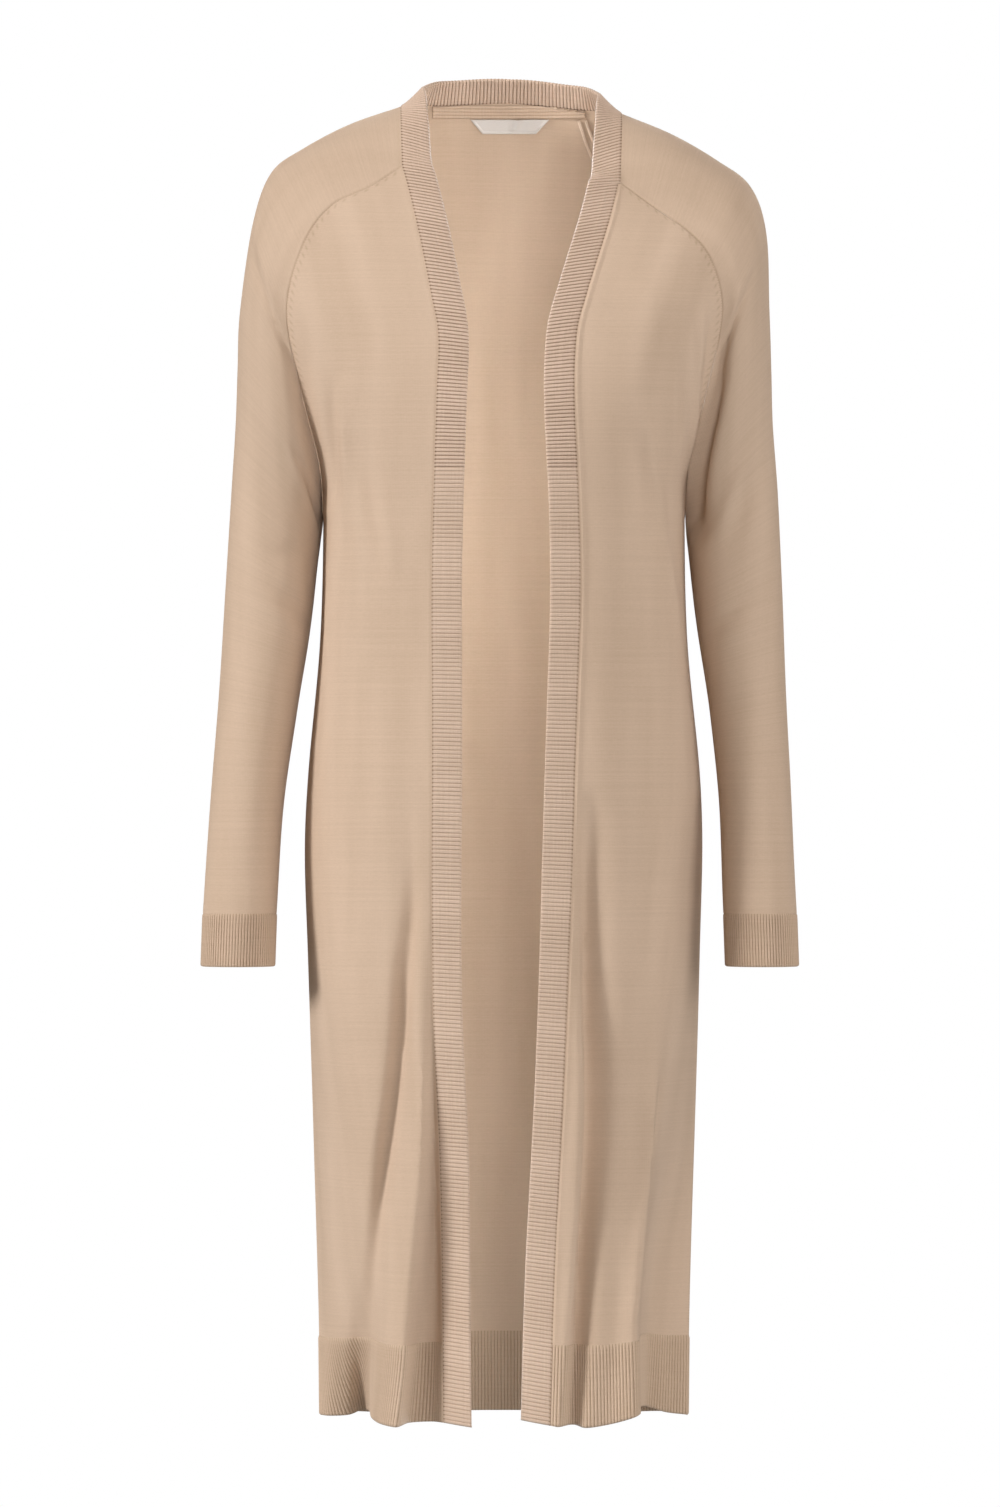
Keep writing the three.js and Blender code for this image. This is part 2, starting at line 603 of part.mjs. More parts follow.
function addPiece(name, geometry, material) {
  const mesh = new THREE.Mesh(geometry, material);
  mesh.name = name;
  garment.add(mesh);
}

// A tall panel is made as two walls, which meet level with the underarm
function addInTwo(upperName, lowerName, grid, normals) {
  const underarm = SHOULDER_RINGS.length - 1;
  const copied = (rows) => rows.map((row) => row.map((p) => p.clone()));
  const upper = copied(grid.slice(0, underarm + 1)), lower = copied(grid.slice(underarm));
  drawBack(upper, "bottom");
  drawBack(lower, "top");
  addPiece(upperName, wall(upper, inwards(upper, normals.slice(0, underarm + 1), CLOTH)), cloth);
  addPiece(lowerName, wall(lower, inwards(lower, normals.slice(underarm), CLOTH)), cloth);
}

// The grids of all the plain panels and ribbed hems, with their normals

const backGrid = backStations.map(backRow);
const backNormals = normalsOf(backGrid, 1);
const backHemGrid = hemStations.map(backRow);
const backHemNormals = normalsOf(backHemGrid, 1);
shareNormals(backNormals[backNormals.length - 1], backHemNormals[0]);

const fronts = {}, hems = {}, sleeves = {};
SIDES.forEach((side) => {
  const grid = frontStations.map((station) => frontRow(side, station));
  const hemGrid = hemStations.map((station) => frontRow(side, station));
  const rings = sleeveStations.map((ring) => sleeveRing(side, ring));
  fronts[side] = { grid, normals: normalsOf(grid, -side) };
  hems[side] = { grid: hemGrid, normals: normalsOf(hemGrid, -side) };
  sleeves[side] = { grid: rings, normals: normalsOf(rings, -side) };
  shareNormals(fronts[side].normals[grid.length - 1], hems[side].normals[0]);
});

// Normals are shared along the raglan seams, the side seams and the sleeves' own seams
SIDES.forEach((side) => {
  const front = fronts[side], sleeve = sleeves[side];
  const shoulder = SHOULDER_RINGS.length;
  const backEdge = side < 0 ? 0 : -1;
  shareNormals(column(front.normals, -1).slice(1, shoulder), column(sleeve.normals, 0).slice(1, shoulder));
  shareNormals(column(backNormals, backEdge).slice(0, shoulder), column(sleeve.normals, -1).slice(0, shoulder));
  shareNormals(column(front.normals, -1).slice(shoulder), column(backNormals, backEdge).slice(shoulder));
  shareNormals(column(hems[side].normals, -1), column(backHemNormals, backEdge));
  shareNormals(column(sleeve.normals, 0).slice(shoulder), column(sleeve.normals, -1).slice(shoulder));
});

// The band, from the hem up the front and round to the middle of the back of the neck, as a list
// of cuts across it: each has a point on its seam and on its free edge, with their normals

function frontCuts(side) {
  const stations = [...frontStations.slice(0, -1), ...hemStations].reverse();
  return stations.map((station) => ({
    seam: frontRow(side, station)[0],
    free: placed(side, freeEdge(side, station)),
    height: station < 0 ? station : seamPoint("front", station, side).z,
  }));
}

function neckCuts(side) {
  const half = HALF_RING_COLUMNS;
  const cuts = sleeveRing(side, 0).map((seam, i) => ({
    seam,
    turn: i <= half ? lerp(NECK_TURNS.front, NECK_TURNS.top, i / half)
      : lerp(NECK_TURNS.top, NECK_TURNS.back, (i - half) / half),
  }));
  halfOf(backGrid[0], side).slice(1).forEach((seam, i) => cuts.push({
    seam: seam.clone(),
    turn: lerp(NECK_TURNS.back, NECK_TURNS.centre, (i + 1) / (BACK_COLUMNS / 2)),
  }));
  cuts.forEach((at) => {
    const lean = new THREE.Vector3(-side * readRow(LEAN, "inward", at.turn),
      readRow(LEAN, "forward", at.turn), readRow(LEAN, "up", at.turn)).normalize();
    at.free = at.seam.clone().addScaledVector(lean, BAND_WIDTH);
  });
  return cuts;
}

const bands = Object.fromEntries(SIDES.map((side) => {
  const front = frontCuts(side);
  const cuts = [...front, ...neckCuts(side)];
  cuts.forEach((at, i) => {
    const along = cuts[Math.min(i + 1, cuts.length - 1)].seam.clone().sub(cuts[Math.max(i - 1, 0)].seam);
    at.freeNormal = along.cross(at.free.clone().sub(at.seam)).normalize().multiplyScalar(side);
    at.seamNormal = at.freeNormal.clone();
  });
  const seamNormals = cuts.map((at) => at.seamNormal);
  const frontNormals = column(fronts[side].normals, 0).slice(0, -1);
  const panel = [...frontNormals, ...column(hems[side].normals, 0)].reverse();
  shareNormals(seamNormals.slice(0, front.length), panel);
  column(fronts[side].normals, 0)[frontStations.length - 1].copy(hems[side].normals[0][0]);
  const neckNormals = [...sleeves[side].normals[0], ...halfOf(backNormals[0], side).slice(1)];
  shareNormals(seamNormals.slice(front.length), neckNormals);

  // The band is cut in two where the neck band is joined on
  const above = cuts.findIndex((at) => at.height > BAND_JOIN);
  const low = cuts[above - 1], high = cuts[above];
  const share = (BAND_JOIN - low.height) / (high.height - low.height);
  const parts = ["seam", "free", "seamNormal", "freeNormal"];
  const join = Object.fromEntries(parts.map((part) => [part, low[part].clone().lerp(high[part], share)]));
  return [side, { below: [...cuts.slice(0, above), join], above: [join, ...cuts.slice(above)] }];
}));

function addBand(name, cuts, drawnEnds) {
  const grid = cuts.map((at) => [at.seam.clone(), at.free.clone()]);
  ["start", ...drawnEnds].forEach((edge) => drawBack(grid, edge));
  const seamNormals = cuts.map((at) => at.seamNormal), freeNormals = cuts.map((at) => at.freeNormal);
  addPiece(name, ribbedStrip(column(grid, 0), column(grid, 1), seamNormals, freeNormals, BAND_PITCH), rib);
}

SIDES.forEach((side) => addBand("band_" + sideName(side), bands[side].below, ["bottom"]));
addBand("neck_band", [...bands[-1].above, ...bands[1].above.slice(0, -1).reverse()], ["top", "bottom"]);

// Front panels and their ribbed hems
SIDES.forEach((side) => {
  const { grid, normals } = fronts[side], hem = hems[side];
  ["start", "end", "bottom"].forEach((edge) => drawBack(grid, edge));
  addPiece("front_" + sideName(side), wall(grid, inwards(grid, normals, CLOTH)), cloth);
  ["start", "end", "top"].forEach((edge) => drawBack(hem.grid, edge));
  const [top, bottom] = hem.grid;
  addPiece("hem_front_" + sideName(side), ribbedStrip(top, bottom, ...hem.normals, HEM_PITCH), rib);
});

// Back panel and its ribbed hem
["start", "end", "top", "bottom"].forEach((edge) => drawBack(backGrid, edge));
const backInner = inwards(backGrid, backNormals, CLOTH);
addInTwo("back_upper", "back_lower", backGrid, backNormals);
["start", "end", "top"].forEach((edge) => drawBack(backHemGrid, edge));
addPiece("hem_back", ribbedStrip(...backHemGrid, ...backHemNormals, HEM_PITCH), rib);

// Sleeves and cuffs
SIDES.forEach((side) => {
  const { grid, normals } = sleeves[side];
  const cuff = [CUFF_TOP, CUFF_END].map((z) => cuffRing(side, z));
  const wristNormals = normals[normals.length - 1].map((n) => n.clone());
  ["start", "end", "top", "bottom"].forEach((edge) => drawBack(grid, edge));
  addInTwo("sleeve_upper_" + sideName(side), "sleeve_lower_" + sideName(side), grid, normals);
  ["start", "end", "top"].forEach((edge) => drawBack(cuff, edge));
  addPiece("cuff_" + sideName(side), ribbedStrip(...cuff, wristNormals, wristNormals, CUFF_PITCH), rib);
});

// Inside the back of the neck: a tape over the seam, a label under it and a hanger loop beside it

// A point on the inside of the back at a given x and z, moved in by a distance
function insideBack(x, z, distance) {
  let row = 1, at = BACK_COLUMNS / 2;
  const read = (grid, r, c) => {
    const r0 = clamp(Math.floor(r), 0, grid.length - 2), c0 = clamp(Math.floor(c), 0, BACK_COLUMNS - 1);
    const across = (rowPoints) => rowPoints[c0].clone().lerp(rowPoints[c0 + 1], c - c0);
    return across(grid[r0]).lerp(across(grid[r0 + 1]), r - r0);
  };
  for (let i = 0; i < SEARCH_STEPS; i++) {
    const here = read(backInner, row, at);
    const below = read(backInner, row + 1, at), beside = read(backInner, row, at + 1);
    at += (x - here.x) / (beside.x - here.x);
    row = clamp(row + (z - here.z) / (below.z - here.z), 0, UNDERARM_RING);
  }
  return read(backInner, row, at).addScaledVector(read(backNormals, row, at), -distance);
}

function addInsidePiece(name, rows, thickness, material) {
  const laid = (distance) => rows.map((row) => row.map(([x, z]) => insideBack(x, z, distance)));
  addPiece(name, wall(laid(LAID_GAP), laid(LAID_GAP + thickness)), material);
}

const between = (from, to, count) => Array.from({ length: count + 1 }, (_, i) => lerp(from, to, i / count));

const tapeEdge = (z) => between(TAPE.from, TAPE.to, TAPE_STEPS).map((x) => [x, z]);
addInsidePiece("neck_tape", [tapeEdge(TAPE.top), tapeEdge(TAPE.bottom)], TAPE.thickness, cloth);

const labelTop = between(LABEL.topFrom, LABEL.topTo, LABEL_STEPS).map((x) => [x, LABEL.top]);
const labelBottom = between(LABEL.bottomFrom, LABEL.bottomTo, LABEL_STEPS).map((x) => [x, LABEL.bottom]);
addInsidePiece("label", [labelTop, labelBottom], LABEL.thickness, satin);

const loopEdges = LOOP.map((at, i) => {
  const before = LOOP[Math.max(i - 1, 0)], after = LOOP[Math.min(i + 1, LOOP.length - 1)];
  const along = new THREE.Vector2(after.x - before.x, after.z - before.z).setLength(LOOP_WIDTH / 2);
  return [[at.x + along.y, at.z - along.x], [at.x - along.y, at.z + along.x]];
});
addInsidePiece("hanger_loop", loopEdges, LOOP_THICKNESS, cloth);

export default garment;
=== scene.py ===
import math

import bpy
import numpy as np
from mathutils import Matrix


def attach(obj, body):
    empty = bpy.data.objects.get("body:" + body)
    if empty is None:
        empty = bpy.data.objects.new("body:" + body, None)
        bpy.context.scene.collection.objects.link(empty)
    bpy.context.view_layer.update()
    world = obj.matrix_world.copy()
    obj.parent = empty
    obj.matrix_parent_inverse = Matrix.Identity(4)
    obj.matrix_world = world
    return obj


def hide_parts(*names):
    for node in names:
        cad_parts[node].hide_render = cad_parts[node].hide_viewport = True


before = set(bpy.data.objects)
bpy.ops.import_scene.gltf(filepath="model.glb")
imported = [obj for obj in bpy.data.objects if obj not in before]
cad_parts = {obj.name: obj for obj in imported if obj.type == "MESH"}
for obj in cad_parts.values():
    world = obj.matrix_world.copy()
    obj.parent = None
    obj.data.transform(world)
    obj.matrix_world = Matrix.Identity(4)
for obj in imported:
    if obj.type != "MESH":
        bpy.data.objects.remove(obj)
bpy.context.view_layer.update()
bpy.ops.object.select_all(action="DESELECT")


# Camera
# The photograph is a level front view from about seven metres, so the camera is far off with a
# long lens. One pixel of the photograph is 0.83 mm of the garment.

PIXEL = 0.00083
PHOTO_HEIGHT = 1507
CAMERA_DISTANCE = 7.0
CAMERA_X = -0.0033
CAMERA_Z = -0.534
SENSOR = 36.0

camera_data = bpy.data.cameras.new("camera")
camera_data.sensor_width = SENSOR
camera_data.lens = SENSOR * CAMERA_DISTANCE / (PHOTO_HEIGHT * PIXEL)
camera = bpy.data.objects.new("camera", camera_data)
camera.location = (CAMERA_X, -CAMERA_DISTANCE, CAMERA_Z)
camera.rotation_euler = (math.radians(90), 0, 0)
bpy.context.scene.collection.objects.link(camera)
bpy.context.scene.camera = camera


# Floor
# The garment hangs as on a standing figure, a good hand's breadth clear of a plain pale floor.

FLOOR_Z = -1.42
FLOOR_SIZE = 60.0
FLOOR_GREY = (0.3, 0.3, 0.3, 1)
FLOOR_ROUGHNESS = 0.8
WHITE = (1, 1, 1, 1)


def new_material(name):
    material = bpy.data.materials.new(name)
    material.use_nodes = True
    return material, material.node_tree, material.node_tree.nodes["Principled BSDF"]


def seen_white(tree, lit, kind, end):
    """Leaves the light that a floor or a background gives, and shows the camera plain white."""
    white = tree.nodes.new(kind)
    white.inputs["Color"].default_value = WHITE
    seen = tree.nodes.new("ShaderNodeLightPath")
    either = tree.nodes.new("ShaderNodeMixShader")
    tree.links.new(seen.outputs["Is Camera Ray"], either.inputs["Fac"])
    tree.links.new(lit.outputs[0], either.inputs[1])
    tree.links.new(white.outputs[0], either.inputs[2])
    tree.links.new(either.outputs["Shader"], tree.nodes[end].inputs["Surface"])


bpy.ops.mesh.primitive_plane_add(size=FLOOR_SIZE, location=(0, 0, FLOOR_Z))
floor = bpy.context.object
floor.name = "floor"
floor_paint, floor_tree, floor_shader = new_material("pale_floor")
floor_shader.inputs["Base Color"].default_value = FLOOR_GREY
floor_shader.inputs["Roughness"].default_value = FLOOR_ROUGHNESS
seen_white(floor_tree, floor_shader, "ShaderNodeEmission", "Material Output")
floor.data.materials.append(floor_paint)
bpy.ops.object.select_all(action="DESELECT")


# Light
# Soft studio light: warm air all round, a key from the viewer's left, fills from the right, the
# front and behind, and two dim strips inside for the light that the thin knit lets through.

AIR = 0.22
AIR_COLOR = (1, 0.81, 0.64, 1)
SUNS = {
    "key": {"strength": 2.72, "turn": (71, 0, -70), "softness": 13},
    "side": {"strength": 1.3, "turn": (76, 0, 58), "softness": 42},
    "front": {"strength": 1.12, "turn": (84, 0, 12), "softness": 20},
    "rear": {"strength": 1.3, "turn": (62, 0, 172), "softness": 30},
}
INSIDE_COLOR = (0.72, 1.02, 1.36)
INSIDE = {
    "inside_top": {"strength": 1.9, "height": 0.4, "z": -0.2},
    "inside_low": {"strength": 1.35, "height": 0.75, "z": -0.76},
}
INSIDE_WIDTH = 0.12

scene = bpy.context.scene
scene.view_settings.view_transform = "Standard"
world = bpy.data.worlds.new("studio_air")
world.use_nodes = True
scene.world = world
air = world.node_tree.nodes["Background"]
air.inputs["Color"].default_value = AIR_COLOR
air.inputs["Strength"].default_value = AIR
seen_white(world.node_tree, air, "ShaderNodeBackground", "World Output")
for name, sun in SUNS.items():
    light = bpy.data.lights.new(name, "SUN")
    light.energy = sun["strength"]
    light.angle = math.radians(sun["softness"])
    lamp = bpy.data.objects.new(name, light)
    lamp.rotation_euler = [math.radians(a) for a in sun["turn"]]
    scene.collection.objects.link(lamp)

for name, strip in INSIDE.items():
    light = bpy.data.lights.new(name, "AREA")
    light.shape = "RECTANGLE"
    light.size = INSIDE_WIDTH
    light.size_y = strip["height"]
    light.energy = strip["strength"]
    light.color = INSIDE_COLOR
    lamp = bpy.data.objects.new(name, light)
    lamp.location = (0, 0, strip["z"])
    lamp.rotation_euler = (math.radians(-90), 0, 0)
    lamp.visible_camera = False
    scene.collection.objects.link(lamp)


# Back
# One panel of fine plain knit, narrowed along both raglan edges. Its surface is worked out in
# millimetres from sections through the body, which the fronts, sleeves and bands share.

MM = 0.001
FULLNESS = 2.5
CLOTH = 1.4
UNDERARM = -336
UNDERARM_RING = 7
HEM_TOP = -1020
HEM = -1087
BACK_NECK_Z = 11
JERSEY = (0.62, 0.465, 0.345)


def table(names, rows):
    return dict(zip(names.split(), np.array(rows, float).T))


TORSO = table("z half_width front back side", [
    [8, 90, 40, 66, 0],
    [-30, 150, 56, 81, 0],
    [-53, 180, 67, 88, 0],
    [-88, 180, 82, 94, 0],
    [-120, 170, 94, 98, 0],
    [-170, 160, 108, 99, 0],
    [-240, 152, 117, 95, 0],
    [UNDERARM, 149.5, 116, 91, 0],
    [-440, 152, 113, 90, 4],
    [-550, 162, 110, 93, 10],
    [-614, 165, 108, 95, 15],
    [-700, 163, 104, 98, 23],
    [-850, 159, 97, 101, 36],
    [-1000, 155, 90, 104, 47],
    [HEM, 154, 87, 105, 52],
])
SLEEVE = table(
    "front_x front_y front_z front_turn top_x top_y top_z back_x back_y back_z back_turn "
    "front_handle back_handle", [
        [90, -60, -53, 35, 92, 0, 0, 76, 46, 6, 50, 31, 20],
        [116, -64, -71, 26, 134, 0, -16, 106, 76, -26, 30, 33, 30],
        [148, -67, -88, 24, 172, 0, -37, 140, 88, -58, 20, 34, 36],
        [168, -69, -117, 18, 199, 0, -58, 166, 86, -102, 12, 38, 40],
        [179, -68, -170, 2, 213, 0, -98, 178, 76, -165, 0, 44, 44],
        [166, -55, -240, -34, 219.5, 0, -166, 166, 58, -240, -36, 52, 54],
        [152.5, -32, -295, -62, 221.5, 0, -216, 152.5, 34, -295, -64, 64, 66],
        [150, 0, UNDERARM, -90, 223, 0, -262, 150, 0, UNDERARM, -90, 72, 76],
        [153.5, 0, -374, -90, 227, 0, -322, 153.5, 0, -374, -90, 66, 70],
        [160, -2, -430, -90, 231, -2, -400, 160, -2, -430, -90, 62, 64],
        [171, -6, -500, -90, 235, -6, -488, 171, -6, -500, -90, 56, 58],
        [180, -12, -575, -90, 240.5, -12, -575, 180, -12, -575, -90, 50, 50],
        [184.5, -20, -666, -90, 245.5, -20, -666, 184.5, -20, -666, -90, 42, 42],
    ])
LEFT_DROP = table("ring drop", [[0, 9], [1, 9], [2, 14], [3, 10], [4, 3], [5, 0], [12, 0]])
BACK_FOLDS = table("across width depth rise", [
    [-0.78, 0.1, 9, -520],
    [-0.6, 0.09, -9, -460],
    [-0.42, 0.1, 8, -420],
    [-0.24, 0.09, -6, -480],
    [0.22, 0.09, -6, -520],
    [0.4, 0.1, 8, -440],
    [0.58, 0.09, -10, -480],
    [0.77, 0.1, 9, -560],
])
FOLDS_CALM = 0.12
NECK_RISE_RINGS = 1.5
LINE_POINTS = 241
NECK_HANG = {"from": -190, "to": -60, "across": 6, "slope": 0.03}
ARM_HANG = {"from_x": 160, "to_x": 190, "over": 350, "across": -3.5}


def curve(places, values, at):
    """Reads a smooth line through a table's column, or through a row of numbers for each place."""
    places, values = np.asarray(places, float), np.asarray(values, float)
    if places[0] > places[-1]:
        places, values = places[::-1], values[::-1]
    k = np.arange(len(places))
    low, high = np.maximum(k - 1, 0), np.minimum(k + 1, len(places) - 1)
    run = (places[high] - places[low]).reshape([-1] + [1] * (values.ndim - 1))
    slope = (values[high] - values[low]) / run
    at = np.clip(at, places[0], places[-1])
    i = np.clip(np.searchsorted(places, at, "right") - 1, 0, len(places) - 2)
    span = places[i + 1] - places[i]
    t = (at - places[i]) / span
    return ((2 * t**3 - 3 * t**2 + 1) * values[i] + (t**3 - 2 * t**2 + t) * span * slope[i]
            + (3 * t**2 - 2 * t**3) * values[i + 1] + (t**3 - t**2) * span * slope[i + 1])


def smooth(t):
    t = np.clip(t, 0, 1)
    return t * t * (3 - 2 * t)


def hump(value, middle, width):
    return np.exp(-(((value - middle) / width) ** 2))


def hung(points):
    """Moves points of the even garment to where it hangs, a little askew."""
    neck = smooth((points[..., 2] - NECK_HANG["from"]) / (NECK_HANG["to"] - NECK_HANG["from"]))
    out = (abs(points[..., 0]) - ARM_HANG["from_x"]) / (ARM_HANG["to_x"] - ARM_HANG["from_x"])
    arm = smooth(out) * smooth((UNDERARM - points[..., 2]) / ARM_HANG["over"])
    moved = points.copy()
    moved[..., 2] -= NECK_HANG["slope"] * points[..., 0] * neck
    moved[..., 0] += NECK_HANG["across"] * neck + ARM_HANG["across"] * arm
    return moved


def ring_value(column, ring):
    return curve(range(len(SLEEVE["top_x"])), SLEEVE[column], ring)


def seam_point(edge, ring, side):
    x, y, z = (ring_value(f"{edge}_{axis}", ring) for axis in "xyz")
    if edge == "front" and side > 0:
        z = z - curve(LEFT_DROP["ring"], LEFT_DROP["drop"], ring)
    return x, y, z


def torso(column, z):
    return curve(TORSO["z"], TORSO[column], z)


def section_of(station, edge, side):
    """Height, half width, depth and outer x of a section: a sleeve ring from 0 up, or a height."""
    facing = -1 if edge == "front" else 1
    if station < 0:
        half_width = torso("half_width", station)
        return station, half_width, torso(edge, station), half_width
    x, y, z = seam_point(edge, station, side)
    depth, middle = torso(edge, z), torso("side", z)
    share = min(abs(y - middle) / (depth - facing * middle), 0.999)
    return z, x / (1 - share**FULLNESS) ** (1 / FULLNESS), depth, x


def section_line(z, half_width, depth, facing, x_from, x_to):
    ends = np.arcsin(np.clip(np.array([x_from, x_to]) / half_width, 0, 1) ** (FULLNESS / 2))
    a = np.linspace(ends[0], ends[1], LINE_POINTS)
    middle = torso("side", z)
    x = half_width * np.sin(a) ** (2 / FULLNESS)
    y = middle + facing * (depth - facing * middle) * np.clip(np.cos(a), 0, 1) ** (2 / FULLNESS)
    return np.stack([x, y, np.full_like(x, z)], 1)


def length_along(line):
    return np.concatenate([[0], np.cumsum(np.linalg.norm(np.diff(line, axis=0), axis=1))])


def at_shares(line, shares):
    run = length_along(line)
    return np.stack([np.interp(shares * run[-1], run, line[:, axis]) for axis in range(3)], 1)


NEAR_SEAM = np.array([0, 0.9, 1.8, 2.8, 4.2, 6.5])
NARROW = 40


def column_shares(length, middle):
    """Shares of a row, close together beside the seams at both ends."""
    edge = NEAR_SEAM * min(1, length / NARROW) / length
    inner = np.linspace(edge[-1], 1 - edge[-1], middle + 2)[1:-1]
    return np.concatenate([edge, inner, 1 - edge[::-1]])


RING_STEP = 0.09
ROW_STEP = 4.0
HEM_ROWS = 12
shoulder_rings = np.linspace(0, UNDERARM_RING, round(UNDERARM_RING / RING_STEP) + 1)
body_rows = np.linspace(UNDERARM, HEM_TOP, round((UNDERARM - HEM_TOP) / ROW_STEP) + 1)[1:]
hem_rows = np.linspace(HEM_TOP, HEM, HEM_ROWS)


def back_row(station, shares):
    """A row of the back from right to left, at shares of the way across."""
    z, half_width, depth, end = section_of(station, "back", -1)
    half = section_line(z, half_width, depth, 1, 0, end)
    line = np.concatenate([half[:0:-1] * [-1, 1, 1], half])
    row = at_shares(line, shares)
    across = 2 * shares - 1
    near_side = 1 - abs(across)
    for i in range(len(BACK_FOLDS["across"])):
        fold = {name: column[i] for name, column in BACK_FOLDS.items()}
        grown = smooth((fold["rise"] - row[:, 2]) / (fold["rise"] - HEM))
        near = hump(across, fold["across"], fold["width"]) * smooth(near_side / FOLDS_CALM)
        row[:, 1] += fold["depth"] * grown * near
    if station >= 0:
        rise = (BACK_NECK_Z - SLEEVE["back_z"][0]) * smooth(near_side)
        row[:, 2] += rise * smooth(1 - station / NECK_RISE_RINGS)
    return hung(row)


def grid_normals(grid):
    normals = np.cross(np.gradient(grid, axis=1), np.gradient(grid, axis=0))
    return normals / np.linalg.norm(normals, axis=2, keepdims=True)


def cloth_sizes(grid):
    """How far each point lies across and up its panel, along the cloth, in millimetres."""
    steps = np.linalg.norm(np.diff(grid, axis=1), axis=2)
    across = np.concatenate([np.zeros((len(grid), 1)), np.cumsum(steps, axis=1)], 1)
    middle = length_along(grid[:, grid.shape[1] // 2])
    up = np.repeat(-middle[:, None], grid.shape[1], 1)
    return across, up


SEAM = {"ridge": 0.2, "ridge_at": 2.8, "ridge_width": 1.2, "groove": 0.28, "groove_width": 0.8}


def seam_relief(distance):
    """A linked seam: a narrow groove with a soft ridge beside it."""
    ridge = SEAM["ridge"] * hump(distance, SEAM["ridge_at"], SEAM["ridge_width"])
    return ridge - SEAM["groove"] * hump(distance, 0, SEAM["groove_width"])


CREASE_ENDS = 0.12


def creased(grid, normals, across, up, creases):
    """Presses soft troughs and ridges into a panel: each is a straight stroke on the flat cloth."""
    raised = np.zeros(across.shape)
    for x0, z0, x1, z1, width, depth in creases:
        run = np.array([x1 - x0, z1 - z0], float)
        length = np.linalg.norm(run)
        along = ((across - x0) * run[0] + (up - z0) * run[1]) / length
        off = ((across - x0) * run[1] - (up - z0) * run[0]) / length
        share = np.clip(along / length, 0, 1)
        past = along - share * length
        fade = np.sin(np.pi * (CREASE_ENDS + (1 - 2 * CREASE_ENDS) * share))
        raised += depth * fade * np.exp(-((off**2 + past**2) / width**2))
    return grid + normals * raised[..., None]


WAVES = {"lengths": (34, 52, 75, 120), "of_each": 3, "turn": 0.5, "slope": 0.35, "height": 0.12}


def uneven(across, up, seed):
    """The slight waviness of hanging knit, under a millimetre."""
    draw = np.random.default_rng(seed)
    longest = max(WAVES["lengths"])
    total = np.zeros(across.shape)
    for wave in WAVES["lengths"]:
        for _ in range(WAVES["of_each"]):
            turn = draw.uniform(-WAVES["turn"], WAVES["turn"])
            phase = draw.uniform(0, 2 * np.pi)
            way = across * np.cos(turn) + WAVES["slope"] * up * np.sin(turn)
            total += np.sin(2 * np.pi * way / wave + phase) * wave / longest
    return total * WAVES["height"]


def cut_of(across, up):
    """A panel's flat width, length and area in metres, before it is hung."""
    widths = abs(across[:, -1] - across[:, 0]) * MM
    drops = abs(np.diff(up[:, 0])) * MM
    area = float(np.sum((widths[1:] + widths[:-1]) / 2 * drops))
    return (float(widths.max()), float(drops.sum())), area


def sheet_of(name, grid, across, up, facing, from_seam=None, past_underarm=None):
    """A panel's outer face as a Blender grid moved onto its form, with its cloth sizes as UV. A
    second UV gives the way to the nearest linked edge, and the way up the raglan, if it has one."""
    if from_seam is None:
        from_seam = past_underarm = np.full(across.shape, -1 / MM)
    if facing < 0:
        grid, across, up = grid[:, ::-1], across[:, ::-1], up[:, ::-1]
        from_seam, past_underarm = from_seam[:, ::-1], past_underarm[:, ::-1]
    rows, columns = grid.shape[:2]
    bpy.ops.mesh.primitive_grid_add(x_subdivisions=columns - 1, y_subdivisions=rows - 1, size=1)
    piece = bpy.context.object
    piece.name = name
    mesh = piece.data
    mesh.name = name
    mesh.vertices.foreach_set("co", (grid * MM).astype(np.float32).ravel())
    corner = np.empty(len(mesh.loops), np.int32)
    mesh.loops.foreach_get("vertex_index", corner)
    flat = np.stack([across, up], 2).reshape(-1, 2) * MM
    mesh.uv_layers.active.data.foreach_set("uv", flat[corner].astype(np.float32).ravel())
    mesh.uv_layers.active.name = "cloth"
    seams = np.stack([from_seam, past_underarm], 2).reshape(-1, 2) * MM
    layer = mesh.uv_layers.new(name="seam")
    layer.data.foreach_set("uv", seams[corner].astype(np.float32).ravel())
    mesh.update()
    return piece


SOFT_EDGE = math.radians(50)


def thickened(piece, thickness):
    wall = piece.modifiers.new("wall", "SOLIDIFY")
    wall.thickness = thickness * MM
    wall.offset = -1
    bpy.ops.object.modifier_apply(modifier=wall.name)
    bpy.ops.object.shade_smooth_by_angle(angle=SOFT_EDGE)
    bpy.ops.object.select_all(action="DESELECT")


def sewn(piece, nodes, slot, material, flat=None, area=None, held="hung"):
    piece.data.materials.append(material)
    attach(piece, "root")
    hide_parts(*nodes)


def number(tree, operation, *inputs):
    node = tree.nodes.new("ShaderNodeMath")
    node.operation = operation
    for socket, value in zip(node.inputs, inputs):
        if isinstance(value, (int, float)):
            socket.default_value = value
        else:
            tree.links.new(value, socket)
    return node.outputs[0]


def cloth_place(tree, layer="cloth"):
    """How far across and up the cloth a point lies, in metres, from one of its UV maps."""
    uv = tree.nodes.new("ShaderNodeUVMap")
    uv.uv_map = layer
    split = tree.nodes.new("ShaderNodeSeparateXYZ")
    tree.links.new(uv.outputs["UV"], split.inputs["Vector"])
    return split.outputs["X"], split.outputs["Y"]


def streaks(tree, across, up, across_scale, up_scale, detail):
    """Noise drawn out over the cloth, from 0 to 1."""
    place = tree.nodes.new("ShaderNodeCombineXYZ")
    tree.links.new(number(tree, "MULTIPLY", across, across_scale), place.inputs["X"])
    tree.links.new(number(tree, "MULTIPLY", up, up_scale), place.inputs["Y"])
    noise = tree.nodes.new("ShaderNodeTexNoise")
    noise.inputs["Scale"].default_value = 1
    noise.inputs["Detail"].default_value = detail
    tree.links.new(place.outputs["Vector"], noise.inputs["Vector"])
    return noise.outputs["Fac"]


